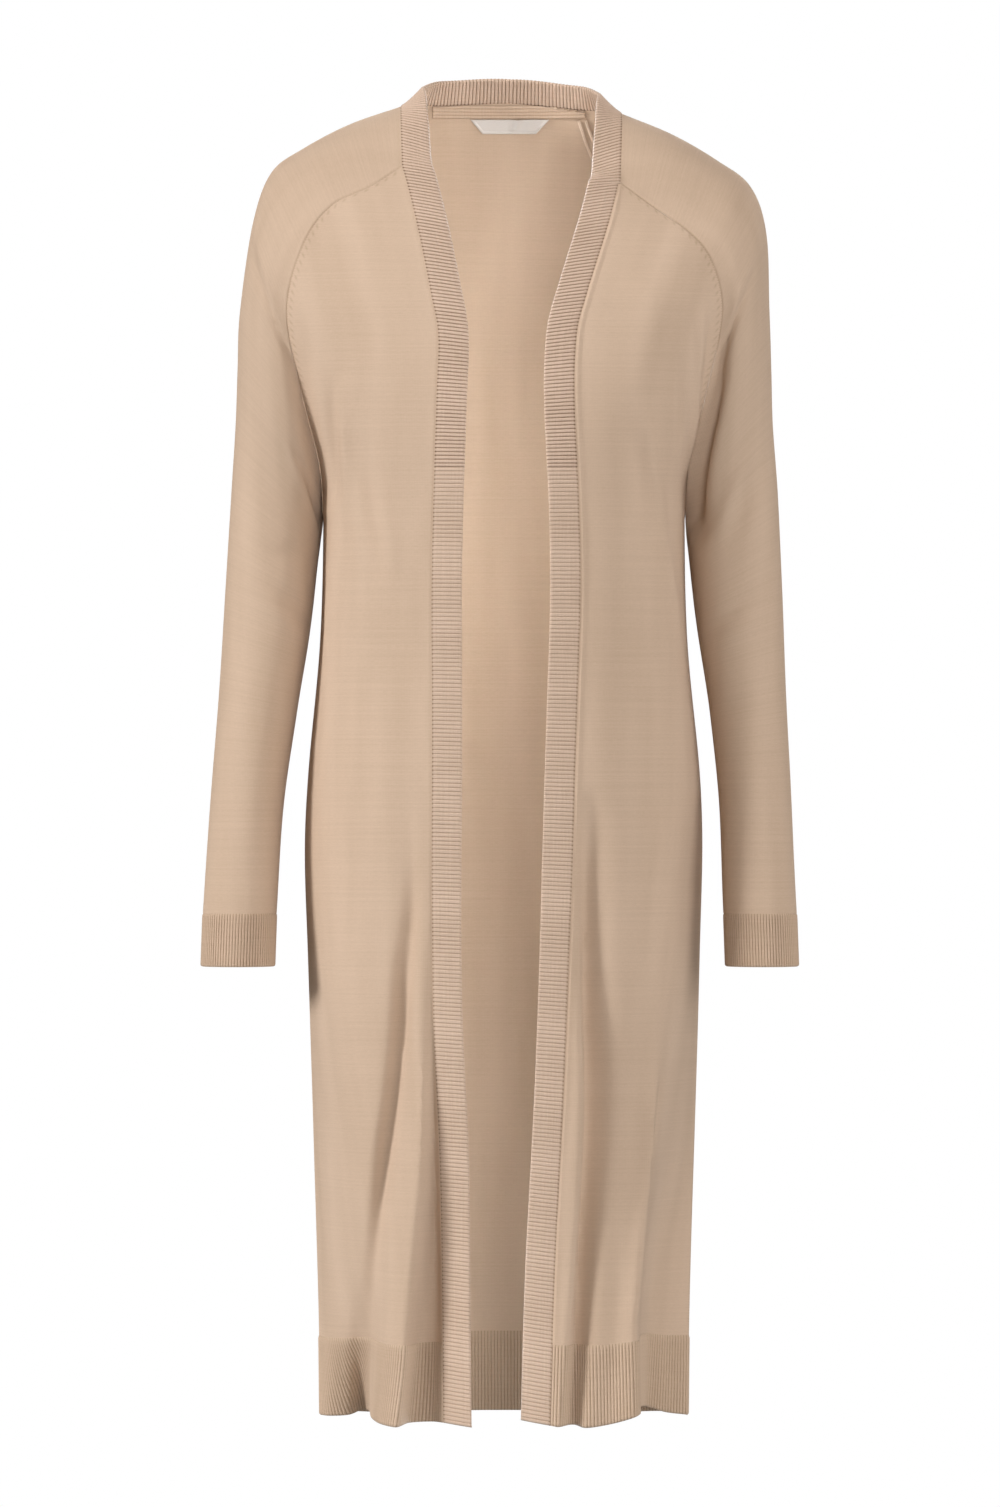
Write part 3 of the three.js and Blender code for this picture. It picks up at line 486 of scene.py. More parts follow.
def bell(tree, value, middle, width):
    """A smooth hump of height 1 round a value, in metres."""
    off = number(tree, "DIVIDE", number(tree, "SUBTRACT", value, middle), width)
    square = number(tree, "MULTIPLY", off, off)
    return number(tree, "POWER", math.e, number(tree, "MULTIPLY", square, -1))


# The seam's thread and the marks where the panel was narrowed: places and sizes in millimetres,
# and how much each darkens the yarn
THREAD = {"at": 0.3, "width": 1.1, "loop": 1.1, "dark": 0.12, "loop_dark": 0.08}
MARKS = {"at": 4.2, "width": 1.9, "apart": 6.2, "slant": 0.9, "above": 30, "sharp": 5, "dark": 0.17}
DOTS = {"at": -0.7, "width": 0.7, "dark": 0.08, "dot_dark": 0.7}


def seam_marks(tree):
    """How dark the linked seam and its fashioning marks are, from the way to the seam."""
    away, along = cloth_place(tree, "seam")
    loops = number(tree, "SINE", number(tree, "MULTIPLY", along, math.pi / (THREAD["loop"] * MM)))
    thread = number(tree, "MULTIPLY", bell(tree, away, THREAD["at"] * MM, THREAD["width"] * MM),
                    number(tree, "MULTIPLY_ADD", loops, THREAD["loop_dark"], THREAD["dark"]))
    slant = number(tree, "MULTIPLY_ADD", away, MARKS["slant"], along)
    pace = number(tree, "SINE", number(tree, "MULTIPLY", slant, math.pi / (MARKS["apart"] * MM)))
    narrowing = number(tree, "POWER", number(tree, "ABSOLUTE", pace), MARKS["sharp"])
    near = bell(tree, away, MARKS["at"] * MM, MARKS["width"] * MM)
    above = number(tree, "GREATER_THAN", along, MARKS["above"] * MM)
    narrowing = number(tree, "MULTIPLY", number(tree, "MULTIPLY", narrowing, near), above)
    return number(tree, "MULTIPLY_ADD", narrowing, MARKS["dark"], thread)


def edge_stitches(tree, across, up, pitch):
    """How dark the row of linking stitches is, close to a strip's linked edge."""
    place = number(tree, "FRACT", number(tree, "MULTIPLY", across, 1 / (pitch * MM)))
    near = number(tree, "ABSOLUTE", number(tree, "SUBTRACT", place, 0.5))
    dots = number(tree, "MULTIPLY_ADD", near, DOTS["dot_dark"], DOTS["dark"])
    return number(tree, "MULTIPLY", bell(tree, up, DOTS["at"] * MM, DOTS["width"] * MM), dots)


def tinted(tree, shader, color, tones):
    """The yarn's colour, made lighter and darker by a tone for each channel."""
    yarn = tree.nodes.new("ShaderNodeMix")
    yarn.data_type = "RGBA"
    yarn.blend_type = "MULTIPLY"
    yarn.inputs["Factor"].default_value = 1
    yarn.inputs["A"].default_value = (*color, 1)
    grey = tree.nodes.new("ShaderNodeCombineColor")
    for channel, tone in zip(("Red", "Green", "Blue"), tones):
        tree.links.new(tone, grey.inputs[channel])
    tree.links.new(grey.outputs["Color"], yarn.inputs["B"])
    tree.links.new(yarn.outputs["Result"], shader.inputs["Base Color"])


def bumped(tree, shader, height, strength, distance):
    bump = tree.nodes.new("ShaderNodeBump")
    bump.inputs["Strength"].default_value = strength
    bump.inputs["Distance"].default_value = distance * MM
    tree.links.new(height, bump.inputs["Height"])
    tree.links.new(bump.outputs["Normal"], shader.inputs["Normal"])


# How far each kind of unevenness lightens or darkens knitted yarn, how far the stitches'
# relief paints shade into the gaps between them, and how many flecks, courses and patches
# there are to a metre across and up
KNIT_TONE = {"base": 0.64, "fleck": 0.16, "course": 0.16, "patch": 0.3, "stitch_relief_and_shade": 0.1}
FLECKS = (260, 1300, 2)
COURSES = (9, 620, 3)
PATCHES = (26, 4, 2)
CHANNEL_POWERS = (0.88, 1.0, 1.2)
STITCH_SLANT = -0.55
KNIT_BUMP = 0.6
KNIT_FINISH = {"Specular IOR Level": 0.25, "Sheen Weight": 0.12, "Sheen Roughness": 0.5,
               "Sheen Tint": (1.0, 0.93, 0.86, 1)}


def knit(name, color, wale, course, relief, groove, trim=None):
    """Yarn knitted in columns of V-shaped stitches: wale is a column's width and course the height
    of a row of stitches in millimetres, relief the stitches' depth, and groove how much painted
    shade darkens the columns' edges, where the grooves between columns and ribs lie. The
    stitches' relief also paints shade into the gaps between them. trim says which stitching is
    drawn in: a panel's seams or a strip's linked edge."""
    material, tree, shader = new_material(name)
    across, up = cloth_place(tree)
    column = number(tree, "FRACT", number(tree, "MULTIPLY", across, 1 / (wale * MM)))
    off = number(tree, "ABSOLUTE", number(tree, "MULTIPLY_ADD", column, 2, -1))
    rows = number(tree, "MULTIPLY", up, 1 / (course * MM))
    slant = number(tree, "MULTIPLY_ADD", off, STITCH_SLANT, rows)
    leg = number(tree, "SINE", number(tree, "MULTIPLY", number(tree, "FRACT", slant), math.pi))
    lean = number(tree, "MULTIPLY_ADD", off, 2, -1)
    body = number(tree, "SUBTRACT", 1, number(tree, "MULTIPLY", lean, lean))
    stitch_relief_and_shade = number(tree, "MULTIPLY", leg, body)
    fleck = streaks(tree, across, up, *FLECKS)
    tone = number(tree, "MULTIPLY_ADD", fleck, KNIT_TONE["fleck"], KNIT_TONE["base"])
    course_tone, patch = (streaks(tree, across, up, *scale) for scale in (COURSES, PATCHES))
    # The stitches' relief lightens their legs and darkens the gaps between them: painted shade. It also
    # drives the bump below.
    for kind, value in (("course", course_tone), ("patch", patch), ("stitch_relief_and_shade", stitch_relief_and_shade)):
        tone = number(tree, "MULTIPLY_ADD", value, KNIT_TONE[kind], tone)
    # Painted shade: groove darkens the edges of each column, where the grooves between columns and ribs
    # lie.
    tone = number(tree, "MULTIPLY_ADD", number(tree, "POWER", off, 4), -groove, tone)
    if trim == "seams":
        tone = number(tree, "SUBTRACT", tone, seam_marks(tree))
    if trim == "linked edge":
        tone = number(tree, "SUBTRACT", tone, edge_stitches(tree, across, up, wale))
    tinted(tree, shader, color, [number(tree, "POWER", tone, power) for power in CHANNEL_POWERS])
    bumped(tree, shader, number(tree, "MULTIPLY_ADD", fleck, 0.5, stitch_relief_and_shade), KNIT_BUMP, relief)
    tree.links.new(number(tree, "MULTIPLY_ADD", fleck, 0.12, 0.78), shader.inputs["Roughness"])
    for socket, value in KNIT_FINISH.items():
        shader.inputs[socket].default_value = value
    return material


jersey = knit("fine_jersey", JERSEY, wale=1.35, course=1.0, relief=0.3, groove=0.05, trim="seams")

# Each crease is a straight stroke on the flat cloth: where it starts and ends, across from the
# panel's first edge and down from its top, its half width and its height, all in millimetres
BACK_CREASES = [
    [62, -150, 112, -214, 12, -2.6],
    [304, -146, 250, -226, 13, -2.8],
    [78, -170, 120, -250, 10, 1.6],
    [22, -268, 34, -392, 9, 3.2],
    [36, -300, 52, -430, 8, -2.4],
    [334, -262, 322, -404, 9, 3],
    [318, -310, 300, -420, 8, -2.2],
    [92, -432, 152, -472, 14, -2.6],
    [304, -452, 240, -504, 13, -2.4],
    [142, -520, 204, -548, 12, -2],
    [169, -196, 164, -286, 6, 1.5],
    [194, -198, 181, -292, 6, -1.5],
    [214, -240, 203, -330, 8, 1.2],
    [122, -650, 135, -826, 10, 3],
    [286, -640, 272, -866, 11, 3],
    [206, -702, 211, -905, 9, -2.6],
]

BACK_COLUMNS = 84
BACK_SEED = 3

back_grid = np.stack([
    back_row(station, column_shares(2 * section_of(station, "back", -1)[3], BACK_COLUMNS))
    for station in np.concatenate([shoulder_rings, body_rows])
])
across, up = cloth_sizes(back_grid)
from_edge = np.minimum(across, across[:, -1:] - across)
shown = creased(back_grid, grid_normals(back_grid), across, up, BACK_CREASES)
relief = seam_relief(from_edge) + uneven(across, up, BACK_SEED)
shown += grid_normals(back_grid) * relief[..., None]
flat, area = cut_of(across, up)
across -= across[:, -1:] / 2
past_underarm = up - up[len(shoulder_rings) - 1]
back = sheet_of("knit_back", shown, across, up, 1, from_edge, past_underarm)
thickened(back, CLOTH)
sewn(back, ("back_upper", "back_lower"), "jersey", jersey, flat, area)


# Fronts
# Two panels of the same knit. Each runs from the band's seam to the side seam, with a slanted
# neck edge, and hangs in a few deep folds below the hips.

BAND_WIDTH = 25
FOLDS_FROM = -560
FRONT_TIP_RING = 0.03
LEAST_WIDTH = 0.5
LIFT = {"from": -900, "to": -1080}
TILT = {"from": -330, "to": -240}
TILT_REACH = 12
FRONT_COLUMNS = 52
FRONT_CALM = 30
FRONT_SEED = 5
BAND_SEAM_SHARE = 0.5
BAND_SEAM = table("z right left", [
    [-53, 90, 90],
    [-95, 78, 81.5],
    [-121, 70.5, 75.5],
    [-159, 60.5, 66.5],
    [-189, 54, 59.8],
    [-237, 55, 57.5],
    [-332, 58, 61.4],
    [-405, 59.3, 62.5],
    [-490, 59, 60],
    [-656, 59, 54.5],
    [-751, 57.5, 51],
    [-853, 53.5, 46.5],
    [-961, 51, 41.5],
    [HEM, 49.5, 37.5],
])
# Each plan is the front's line from above at one height: the band's free edge, its seam, and a
# bend in each row after that, the last of them the side seam
FOLD_PLANS = {
    "right": {
        HEM: [[27, -70, -1], [50, -57, 2], [60, -45, 2], [77, -45, 1], [88, -68, -1], [100, -54, 0],
              [111, 24, 4], [119, 46, 4], [129, 37, 1], [145, 40, 0], [154, 52, 0]],
        -970: [[28, -76, 0], [51, -64, 1], [57, -52, 1], [66, -56, 0], [77, -78, 0], [91, -68, 0],
               [106, -36, 1], [117, -30, 1], [130, -16, 0], [145, 10, 0], [155.5, 45, 0]],
        -864: [[29, -88, 0], [53, -80, 0], [57, -75, 0], [62, -80, 0], [69, -90, 0], [84, -75, 0],
               [96, -58, 0], [108, -63, 0], [127, -46, 0], [146, -12, 0], [158.5, 37, 0]],
        -780: [[33, -96, 0], [57, -89, 0], [59, -88, 0], [63, -91, 0], [68, -93, 0], [77, -84, 0],
               [86, -72, 0], [98, -78, 0], [122, -66, 0], [148, -30, 0], [161, 30, 0]],
        -690: [[35, -101, 0], [59, -96, 0], [61, -96, 0], [65, -96, 0], [70, -94, 0], [76, -89, 0],
               [83, -88, 0], [96, -87, 0], [120, -77, 0], [150, -43, 0], [163, 22, 0]],
    },
    "left": {
        HEM: [[13.5, -56, 4], [38, -64, 0], [45, -66, -1], [57, -52, 0], [67, -62, -2], [88, -60, 1],
              [109, -60, 7], [111, -14, 9], [118, 28, 9], [135, 42, 3], [154, 52, 0]],
        -955: [[17.5, -70, 1], [42, -74, 0], [57, -75, 0], [61, -59, 0], [78, -68, 0], [96, -64, 0],
               [110, -62, 1], [114, -28, 2], [121, 5, 2], [138, 28, 0], [156, 44, 0]],
        -830: [[24, -86, 0], [48, -88, 0], [64, -87, 0], [67, -64, 0], [91, -70, 0], [107, -65, 0],
               [123, -56, 0], [131, -38, 0], [141, -15, 0], [151, 9, 0], [159.5, 34, 0]],
        -720: [[28.5, -96, 0], [52.5, -95, 0], [62, -93, 0], [66, -79, 0], [85, -85, 0], [105, -80, 0],
               [124, -70, 0], [139, -52, 0], [151, -27, 0], [158, 0, 0], [162.5, 25, 0]],
        -630: [[31, -102, 0], [56, -101, 0], [61, -98, 0], [67, -91, 0], [80, -94, 0], [104, -88, 0],
               [124, -78, 0], [140, -61, 0], [152, -34, 0], [160, -6, 0], [164.5, 16, 0]],
    },
}
SIDES = {"right": -1, "left": 1}


def band_seam_x(side, z):
    name = "left" if side > 0 else "right"
    return curve(BAND_SEAM["z"], BAND_SEAM[name], np.clip(z, HEM, BAND_SEAM["z"][0]))


def plain_front(side, station):
    z, half_width, depth, end = section_of(station, "front", side)
    start = min(band_seam_x(side, z), end - LEAST_WIDTH)
    return section_line(z, half_width, depth, -1, start, end)


def plain_free(side, station):
    """The band's free edge, one band's width in from its seam and square to it."""
    z, half_width, depth, end = section_of(station, "front", side)
    seam = min(band_seam_x(side, z), end)
    slope = (band_seam_x(side, z + TILT_REACH) - band_seam_x(side, z - TILT_REACH)) / (2 * TILT_REACH)
    tilt = math.atan(slope) * smooth((z - TILT["from"]) / (TILT["to"] - TILT["from"]))
    width = BAND_WIDTH * math.cos(tilt)
    line = section_line(z, half_width, depth, -1, max(seam - 2 * width, 1), seam)[::-1]
    point = at_shares(line, np.array([width / length_along(line)[-1]]))[0]
    rise = BAND_WIDTH * math.sin(tilt)
    point[1] *= torso("front", z + rise) / torso("front", z)
    point[2] += rise
    return point


def fold_plans(side):
    """The plans as shares of the way along the front, and how far the cloth is moved at each."""
    heights, shares, moves, free = [], [], [], []
    for z, rows in FOLD_PLANS["left" if side > 0 else "right"].items():
        bends = np.array(rows, float)
        run = length_along(bends[1:] * [1, 1, 0])
        plain = at_shares(plain_front(side, z), run / run[-1])
        move = np.stack([bends[1:, 0] - plain[:, 0], bends[1:, 1] - plain[:, 1], bends[1:, 2]], 1)
        move[-1, :2] = 0
        edge = plain_free(side, z)
        heights.append(z)
        shares.append(run / run[-1])
        moves.append(move)
        free.append([bends[0, 0] - edge[0], bends[0, 1] - edge[1], bends[0, 2]])
    still = np.zeros_like(moves[-1])
    return {"heights": [*heights, FOLDS_FROM], "shares": np.array([*shares, shares[-1]]),
            "moves": np.array([*moves, still]), "free": np.array([*free, [0, 0, 0]])}


plans = {side: fold_plans(side) for side in SIDES.values()}


def front_row(side, station, shares):
    """A row of a front, from the band's seam to the side seam or raglan seam."""
    row = at_shares(plain_front(side, station), shares)
    if station < FOLDS_FROM:
        plan = plans[side]
        bend_shares = curve(plan["heights"], plan["shares"], station)
        bend_moves = curve(plan["heights"], plan["moves"], station)
        move = np.stack([curve(bend_shares, bend_moves[:, axis], shares) for axis in range(3)], 1)
        move[:, 2] *= smooth((station - LIFT["from"]) / (LIFT["to"] - LIFT["from"]))
        row += move
    return hung(row * [side, 1, 1])


def free_edge(side, station):
    point = plain_free(side, station)
    if station < FOLDS_FROM:
        point += curve(plans[side]["heights"], plans[side]["free"], station)
    return hung(point * [side, 1, 1])


FRONT_CREASES = {
    "right": [
        [56, -236, 29, -344, 7, 3],
        [72, -200, 58, -420, 13, 2.4],
        [68, -248, 43, -352, 7, -2.6],
        [92, -196, 103, -294, 6, -3.4],
        [79, -198, 84, -312, 6, 3.2],
        [15, -606, 34, -742, 7, -4],
        [6, -640, 18, -760, 6, 2],
        [118, -150, 121, -226, 7, -1.6],
        [112, -330, 118, -452, 9, 2.2],
        [74, -420, 90, -540, 10, -1.6],
        [44, -500, 30, -640, 9, 1.4],
    ],
    "left": [
        [105, -118, 115, -190, 5, 3.4],
        [115, -188, 125, -250, 5, 3.4],
        [113, -122, 122, -196, 4, -1.9],
        [96, -150, 107, -234, 5, 1.8],
        [88, -160, 98, -238, 5, -1.4],
        [60, -208, 86, -322, 8, 2.8],
        [86, -318, 112, -400, 9, 2.2],
        [49, -222, 72, -334, 9, -2.2],
        [36, -96, 66, -128, 9, 1.2],
        [101, -756, 95, -850, 4.4, 3.4],
        [95, -846, 84, -948, 4.4, 3.4],
        [109, -756, 104, -860, 5, -2.6],
    ],
}
EDGE_RIDGE = {"right": 0.15, "left": 0.8, "at": 2.2, "width": 1.1}
front_stations = np.concatenate([[FRONT_TIP_RING], shoulder_rings[1:], body_rows])
for name, side in SIDES.items():
    grid = np.stack([
        front_row(side, station, column_shares(length_along(line)[-1], FRONT_COLUMNS))
        for station, line in ((station, plain_front(side, station)) for station in front_stations)
    ])
    across, up = cloth_sizes(grid)
    normals = grid_normals(grid) * -side
    shown = creased(grid, normals, across, up, FRONT_CREASES[name])
    fade = np.minimum(1, across[:, -1:] / FRONT_CALM)
    from_side = across[:, -1:] - across
    relief = seam_relief(from_side) + BAND_SEAM_SHARE * seam_relief(across)
    relief += EDGE_RIDGE[name] * hump(across, EDGE_RIDGE["at"], EDGE_RIDGE["width"])
    shown += normals * ((relief + uneven(across, up, FRONT_SEED + side)) * fade)[..., None]
    past_underarm = up - up[np.argmin(abs(front_stations - UNDERARM_RING))]
    front = sheet_of("knit_front_" + name, shown, across, up, -side, from_side, past_underarm)
    thickened(front, CLOTH)
    sewn(front, ("front_" + name,), "jersey", jersey, *cut_of(across, up))


# Sleeves
# Each raglan sleeve is knitted in one piece from the neck to the cuff, and its edges are linked
# under the arm.

SLEEVE_FOLDS = table("ring turn length width depth", [
    [7.6, 0.25, 1.3, 0.12, -4],
    [9.4, 0.3, 1.1, 0.12, -3],
    [8.6, 0.72, 1.3, 0.12, -5],
    [10.4, 0.7, 1.1, 0.12, -3],
])
ARM_RING_STEP = 0.065
SLEEVE_COLUMNS = 62
SLEEVE_SEED = 9
UNDERARM_GAP = 0.6
RING_POINTS = 91
COARSE_POINTS = 61


def sleeve_ring(side, ring, shares):
    """A ring of a sleeve, from its front seam over the top to its back seam."""
    top = np.array([ring_value("top_" + axis, ring) for axis in "xyz"])
    apart = UNDERARM_GAP * smooth(ring - (UNDERARM_RING - 1))
    t = np.linspace(0, 1, RING_POINTS)[:, None]
    halves = []
    for edge, facing in (("front", -1), ("back", 1)):
        end = np.array(seam_point(edge, ring, side), float) + [apart, 0, 0]
        out = (top - end) * [1, 0, 1]
        out /= np.linalg.norm(out)
        turn = math.radians(ring_value(edge + "_turn", ring))
        handle = ring_value(edge + "_handle", ring)
        near_end = end + handle * (out * math.cos(turn) + np.array([0, -facing * math.sin(turn), 0]))
        near_top = top + [0, facing * handle, 0]
        halves.append((1 - t)**3 * end + 3 * (1 - t)**2 * t * near_end
                      + 3 * (1 - t) * t**2 * near_top + t**3 * top)
    front_half = at_shares(halves[0], np.clip(2 * shares, 0, 1))
    back_half = at_shares(halves[1], np.clip(2 - 2 * shares, 0, 1))
    line = np.where(shares[:, None] < 0.5, front_half, back_half)
    for i in range(len(SLEEVE_FOLDS["ring"])):
        fold = {name: column[i] for name, column in SLEEVE_FOLDS.items()}
        near = hump(ring, fold["ring"], fold["length"]) * hump(shares, fold["turn"], fold["width"])
        line[:, 1] += fold["depth"] * near * np.where(shares < 0.5, -1, 1)
    return hung(line * [side, 1, 1])


last_ring = len(SLEEVE["top_x"]) - 1
arm_steps = round((last_ring - UNDERARM_RING) / ARM_RING_STEP)
arm_rings = np.linspace(UNDERARM_RING, last_ring, arm_steps + 1)[1:]
sleeve_rings = np.concatenate([shoulder_rings, arm_rings])
# The creases die out this many millimetres before the seams, which hold the cloth's edges
SEAM_HOLD = 7
SLEEVE_CREASES = {
    "right": [
        [88, -184, 8, -208, 9, -2.6],
        [82, -166, 14, -186, 9, 1.6],
        [48, -308, 12, -350, 9, -4],
        [60, -300, 34, -348, 8, 1.8],
        [36, -396, 74, -424, 9, -1.8],
        [18, -470, 62, -448, 9, -2.2],
        [26, -486, 70, -470, 7, 1.6],
        [30, -590, 66, -572, 8, -1.4],
        [168, -196, 232, -246, 10, -2.6],
        [180, -392, 232, -350, 10, -2.8],
        [170, -372, 222, -334, 9, 1.8],
        [150, -486, 206, -458, 8, -2.2],
        [132, -580, 176, -560, 8, -1.6],
    ],
    "left": [
        [54, -184, 6, -216, 9, -3.6],
        [58, -164, 6, -192, 10, 1.3],
        [9, -210, 36, -356, 18, -16],
        [114, -346, 68, -392, 11, -3],
        [100, -330, 58, -372, 9, 1.8],
        [40, -300, 10, -344, 9, -2.6],
        [30, -472, 78, -454, 8, -2.2],
        [42, -490, 84, -476, 7, 1.4],
        [24, -560, 58, -548, 8, -1.4],
        [186, -200, 244, -244, 10, -2.4],
        [176, -396, 238, -346, 10, -2.8],
        [164, -378, 226, -330, 9, 1.8],
        [140, -500, 196, -470, 8, -2.2],
        [128, -592, 174, -574, 8, -1.6],
    ],
}
for name, side in SIDES.items():
    rows = []
    for ring in sleeve_rings:
        coarse = sleeve_ring(side, ring, np.linspace(0, 1, COARSE_POINTS))
        shares = column_shares(length_along(coarse)[-1], SLEEVE_COLUMNS)
        rows.append(sleeve_ring(side, ring, shares))
    grid = np.stack(rows)
    across, up = cloth_sizes(grid)
    normals = grid_normals(grid) * -side
    shown = creased(grid, normals, across, up, SLEEVE_CREASES[name])
    from_edge = np.minimum(across, across[:, -1:] - across)
    shown = grid + (shown - grid) * np.clip(from_edge / SEAM_HOLD, 0, 1)[..., None]
    relief = seam_relief(from_edge) + uneven(across, up, SLEEVE_SEED + side)
    shown += normals * relief[..., None]
    flat, area = cut_of(across, up)
    across -= across[:, -1:] / 2
    no_marks = np.full(across.shape, -1.0)
    sleeve = sheet_of("knit_sleeve_" + name, shown, across, up, -side, from_edge, no_marks)
    thickened(sleeve, CLOTH)
    sewn(sleeve, ("sleeve_upper_" + name, "sleeve_lower_" + name), "jersey", jersey, flat, area)


# Front bands and neck band
# Strips of firm one-and-one rib with the ribs across them, linked to the fronts' edges and round
# the neck. The neck band is joined to the two long bands at the chest.

BAND_RIB = {"pitch": 3.4, "height": 0.65, "thickness": 1.5, "crown": 0.4, "back_height": 0.5}
NECK_RIB = {"pitch": 3.1, "height": 0.95, "thickness": 1.5, "crown": 0.4, "back_height": 1.0}
BAND_GREY = (0.605, 0.458, 0.358)
NECK_GREY = (0.63, 0.475, 0.375)
BAND_JOIN = -300
ABOVE_JOIN = 99
NECK_STEPS = 30
LEAN = table("inward forward up", [
    [0.965, 0.155, 0.21],
    [0.87, 0.12, 0.44],
    [0.76, 0.02, 0.65],
    [0.54, -0.34, 0.77],
    [0, -0.66, 0.75],
])
RIB_STEPS = 8
RIB_FULLNESS = 2.4
EDGE_ROUND = 1.6
LINKED_FLAT = 2.2
END_GROOVE = 0.6
END_GROOVE_WIDTH = 1.3
RIB_EDGE = math.radians(60)


def ribbed(name, grid, facing, widths, pitch, height, thickness, crown, back_height):
    """A strip of rib knit as a closed shell, and its flat size. The grid's rows run along the
    strip, from the edge where it is linked to the edge that hangs free, and the ribs run from row
    to row. widths are the shares of the way across at which the shell has a row of points."""
    long_way = [length_along(row) for row in grid]
    count = max(2, round(np.mean([run[-1] for run in long_way]) / pitch))
    shares = np.linspace(0, 1, count * RIB_STEPS + 1)
    lines = np.stack([at_shares(row, shares) for row in grid])
    w = np.array(widths)
    fine = np.stack([at_shares(lines[:, k], w) for k in range(lines.shape[1])], 1)
    normals = grid_normals(fine) * facing
    phase = (shares * count) % 1
    ridge = 1 - abs(2 * phase - 1) ** RIB_FULLNESS
    valley = 1 - abs(2 * ((phase + 0.5) % 1) - 1) ** RIB_FULLNESS
    width = length_along(fine[:, 0])[-1]
    to_edge = np.clip((1 - w) * width / EDGE_ROUND, 0, 1)
    body = np.sqrt(1 - (1 - to_edge) ** 2)
    linked = smooth(w * width / LINKED_FLAT)
    outer = crown * np.sin(np.pi * w)[:, None] + (height * ridge)[None, :] * (linked * body)[:, None]
    outer += (thickness / 2) * (body - 1)[:, None]
    from_end = np.minimum(shares, 1 - shares) * count * pitch
    outer -= END_GROOVE * hump(from_end, 0, END_GROOVE_WIDTH)[None, :]
    inner = -thickness + (thickness / 2) * (1 - body)[:, None]
    inner = inner - (back_height * valley)[None, :] * (linked * body)[:, None]
    front_face = fine + normals * outer[..., None]
    back_face = fine + normals * inner[..., None]
    up = np.repeat(-(w * width)[:, None], len(shares), 1)
    across = np.repeat((shares * count * pitch)[None, :], len(w), 0)
    rows_count, columns = fine.shape[:2]
    points = np.concatenate([front_face.reshape(-1, 3), back_face.reshape(-1, 3)])
    behind = np.stack([across + pitch / 2, up], 2)
    flat = np.concatenate([np.stack([across, up], 2).reshape(-1, 2), behind.reshape(-1, 2)])
    outside = np.arange(rows_count * columns).reshape(rows_count, columns)
    inside = outside + rows_count * columns

    def quads(a):
        return np.stack([a[:-1, :-1], a[:-1, 1:], a[1:, 1:], a[1:, :-1]], 2).reshape(-1, 4)

    def wall(first, second):
        return np.stack([first[:-1], second[:-1], second[1:], first[1:]], 1)

    faces = np.concatenate([
        quads(outside)[:, ::-1] if facing > 0 else quads(outside),
        quads(inside) if facing > 0 else quads(inside)[:, ::-1],
    ])
    rims = [(outside[0], inside[0]), (inside[-1], outside[-1]),
            (inside[:, 0], outside[:, 0]), (outside[:, -1], inside[:, -1])]
    for first, second in rims:
        faces = np.concatenate([faces, wall(first, second) if facing > 0 else wall(second, first)])
    mesh = bpy.data.meshes.new(name)
    mesh.from_pydata((points * MM).tolist(), [], faces.tolist())
    layer = mesh.uv_layers.new(name="cloth")
    corner = np.empty(len(mesh.loops), np.int32)
    mesh.loops.foreach_get("vertex_index", corner)
    layer.data.foreach_set("uv", (flat[corner] * MM).astype(np.float32).ravel())
    flat_size = (float(width) * MM, float(np.mean([run[-1] for run in long_way])) * MM)
    piece = bpy.data.objects.new(name, mesh)
    scene.collection.objects.link(piece)
    bpy.context.view_layer.objects.active = piece
    piece.select_set(True)
    bpy.ops.object.mode_set(mode="EDIT")
    bpy.ops.mesh.select_all(action="SELECT")
    bpy.ops.mesh.normals_make_consistent(inside=False)
    bpy.ops.object.mode_set(mode="OBJECT")
    bpy.ops.object.shade_smooth_by_angle(angle=RIB_EDGE)
    bpy.ops.object.select_all(action="DESELECT")
    return piece, flat_size


EASE = 9


def eased(line):
    """Takes the small kinks out of a line, as a firm strip does, and keeps its ends."""
    run = length_along(line)
    reach = np.minimum(EASE, np.minimum(run, run[-1] - run) + 0.01)
    apart = (run[:, None] - run[None, :]) / reach[:, None]
    share = np.exp(-(apart**2)) * np.gradient(run)[None, :]
    return share @ line / share.sum(axis=1, keepdims=True)


def band_lines(side):
    """The band's seam and free edge from the hem up and round to the middle of the back neck."""
    stations = np.concatenate([front_stations[:-1], hem_rows])[::-1]
    seam = [front_row(side, station, np.array([0.0]))[0] for station in stations]
    free = [free_edge(side, station) for station in stations]
    heights = [station if station < 0 else seam_point("front", station, side)[2]
               for station in stations]
    ring = sleeve_ring(side, 0, np.linspace(0, 1, NECK_STEPS + 1))
    half_ring = NECK_STEPS // 2 + 1
    neck = back_row(0, np.linspace(0, 1, 2 * NECK_STEPS + 1))
    half = neck[:NECK_STEPS + 1] if side < 0 else neck[NECK_STEPS:][::-1]
    ring = np.concatenate([ring, half[1:]])
    turns = np.concatenate([np.linspace(0, 2, half_ring), np.linspace(2, 3, half_ring)[1:],
                            np.linspace(3, 4, NECK_STEPS + 1)[1:]])
    lean = np.stack([curve(range(5), LEAN[axis], turns) for axis in ("inward", "forward", "up")], 1)
    lean *= [-side, 1, 1]
    lean /= np.linalg.norm(lean, axis=1)[:, None]
    seam = np.concatenate([seam, ring])
    free = eased(np.concatenate([free, ring + lean * BAND_WIDTH]))
    return seam, free, np.concatenate([heights, np.full(len(ring), ABOVE_JOIN)])


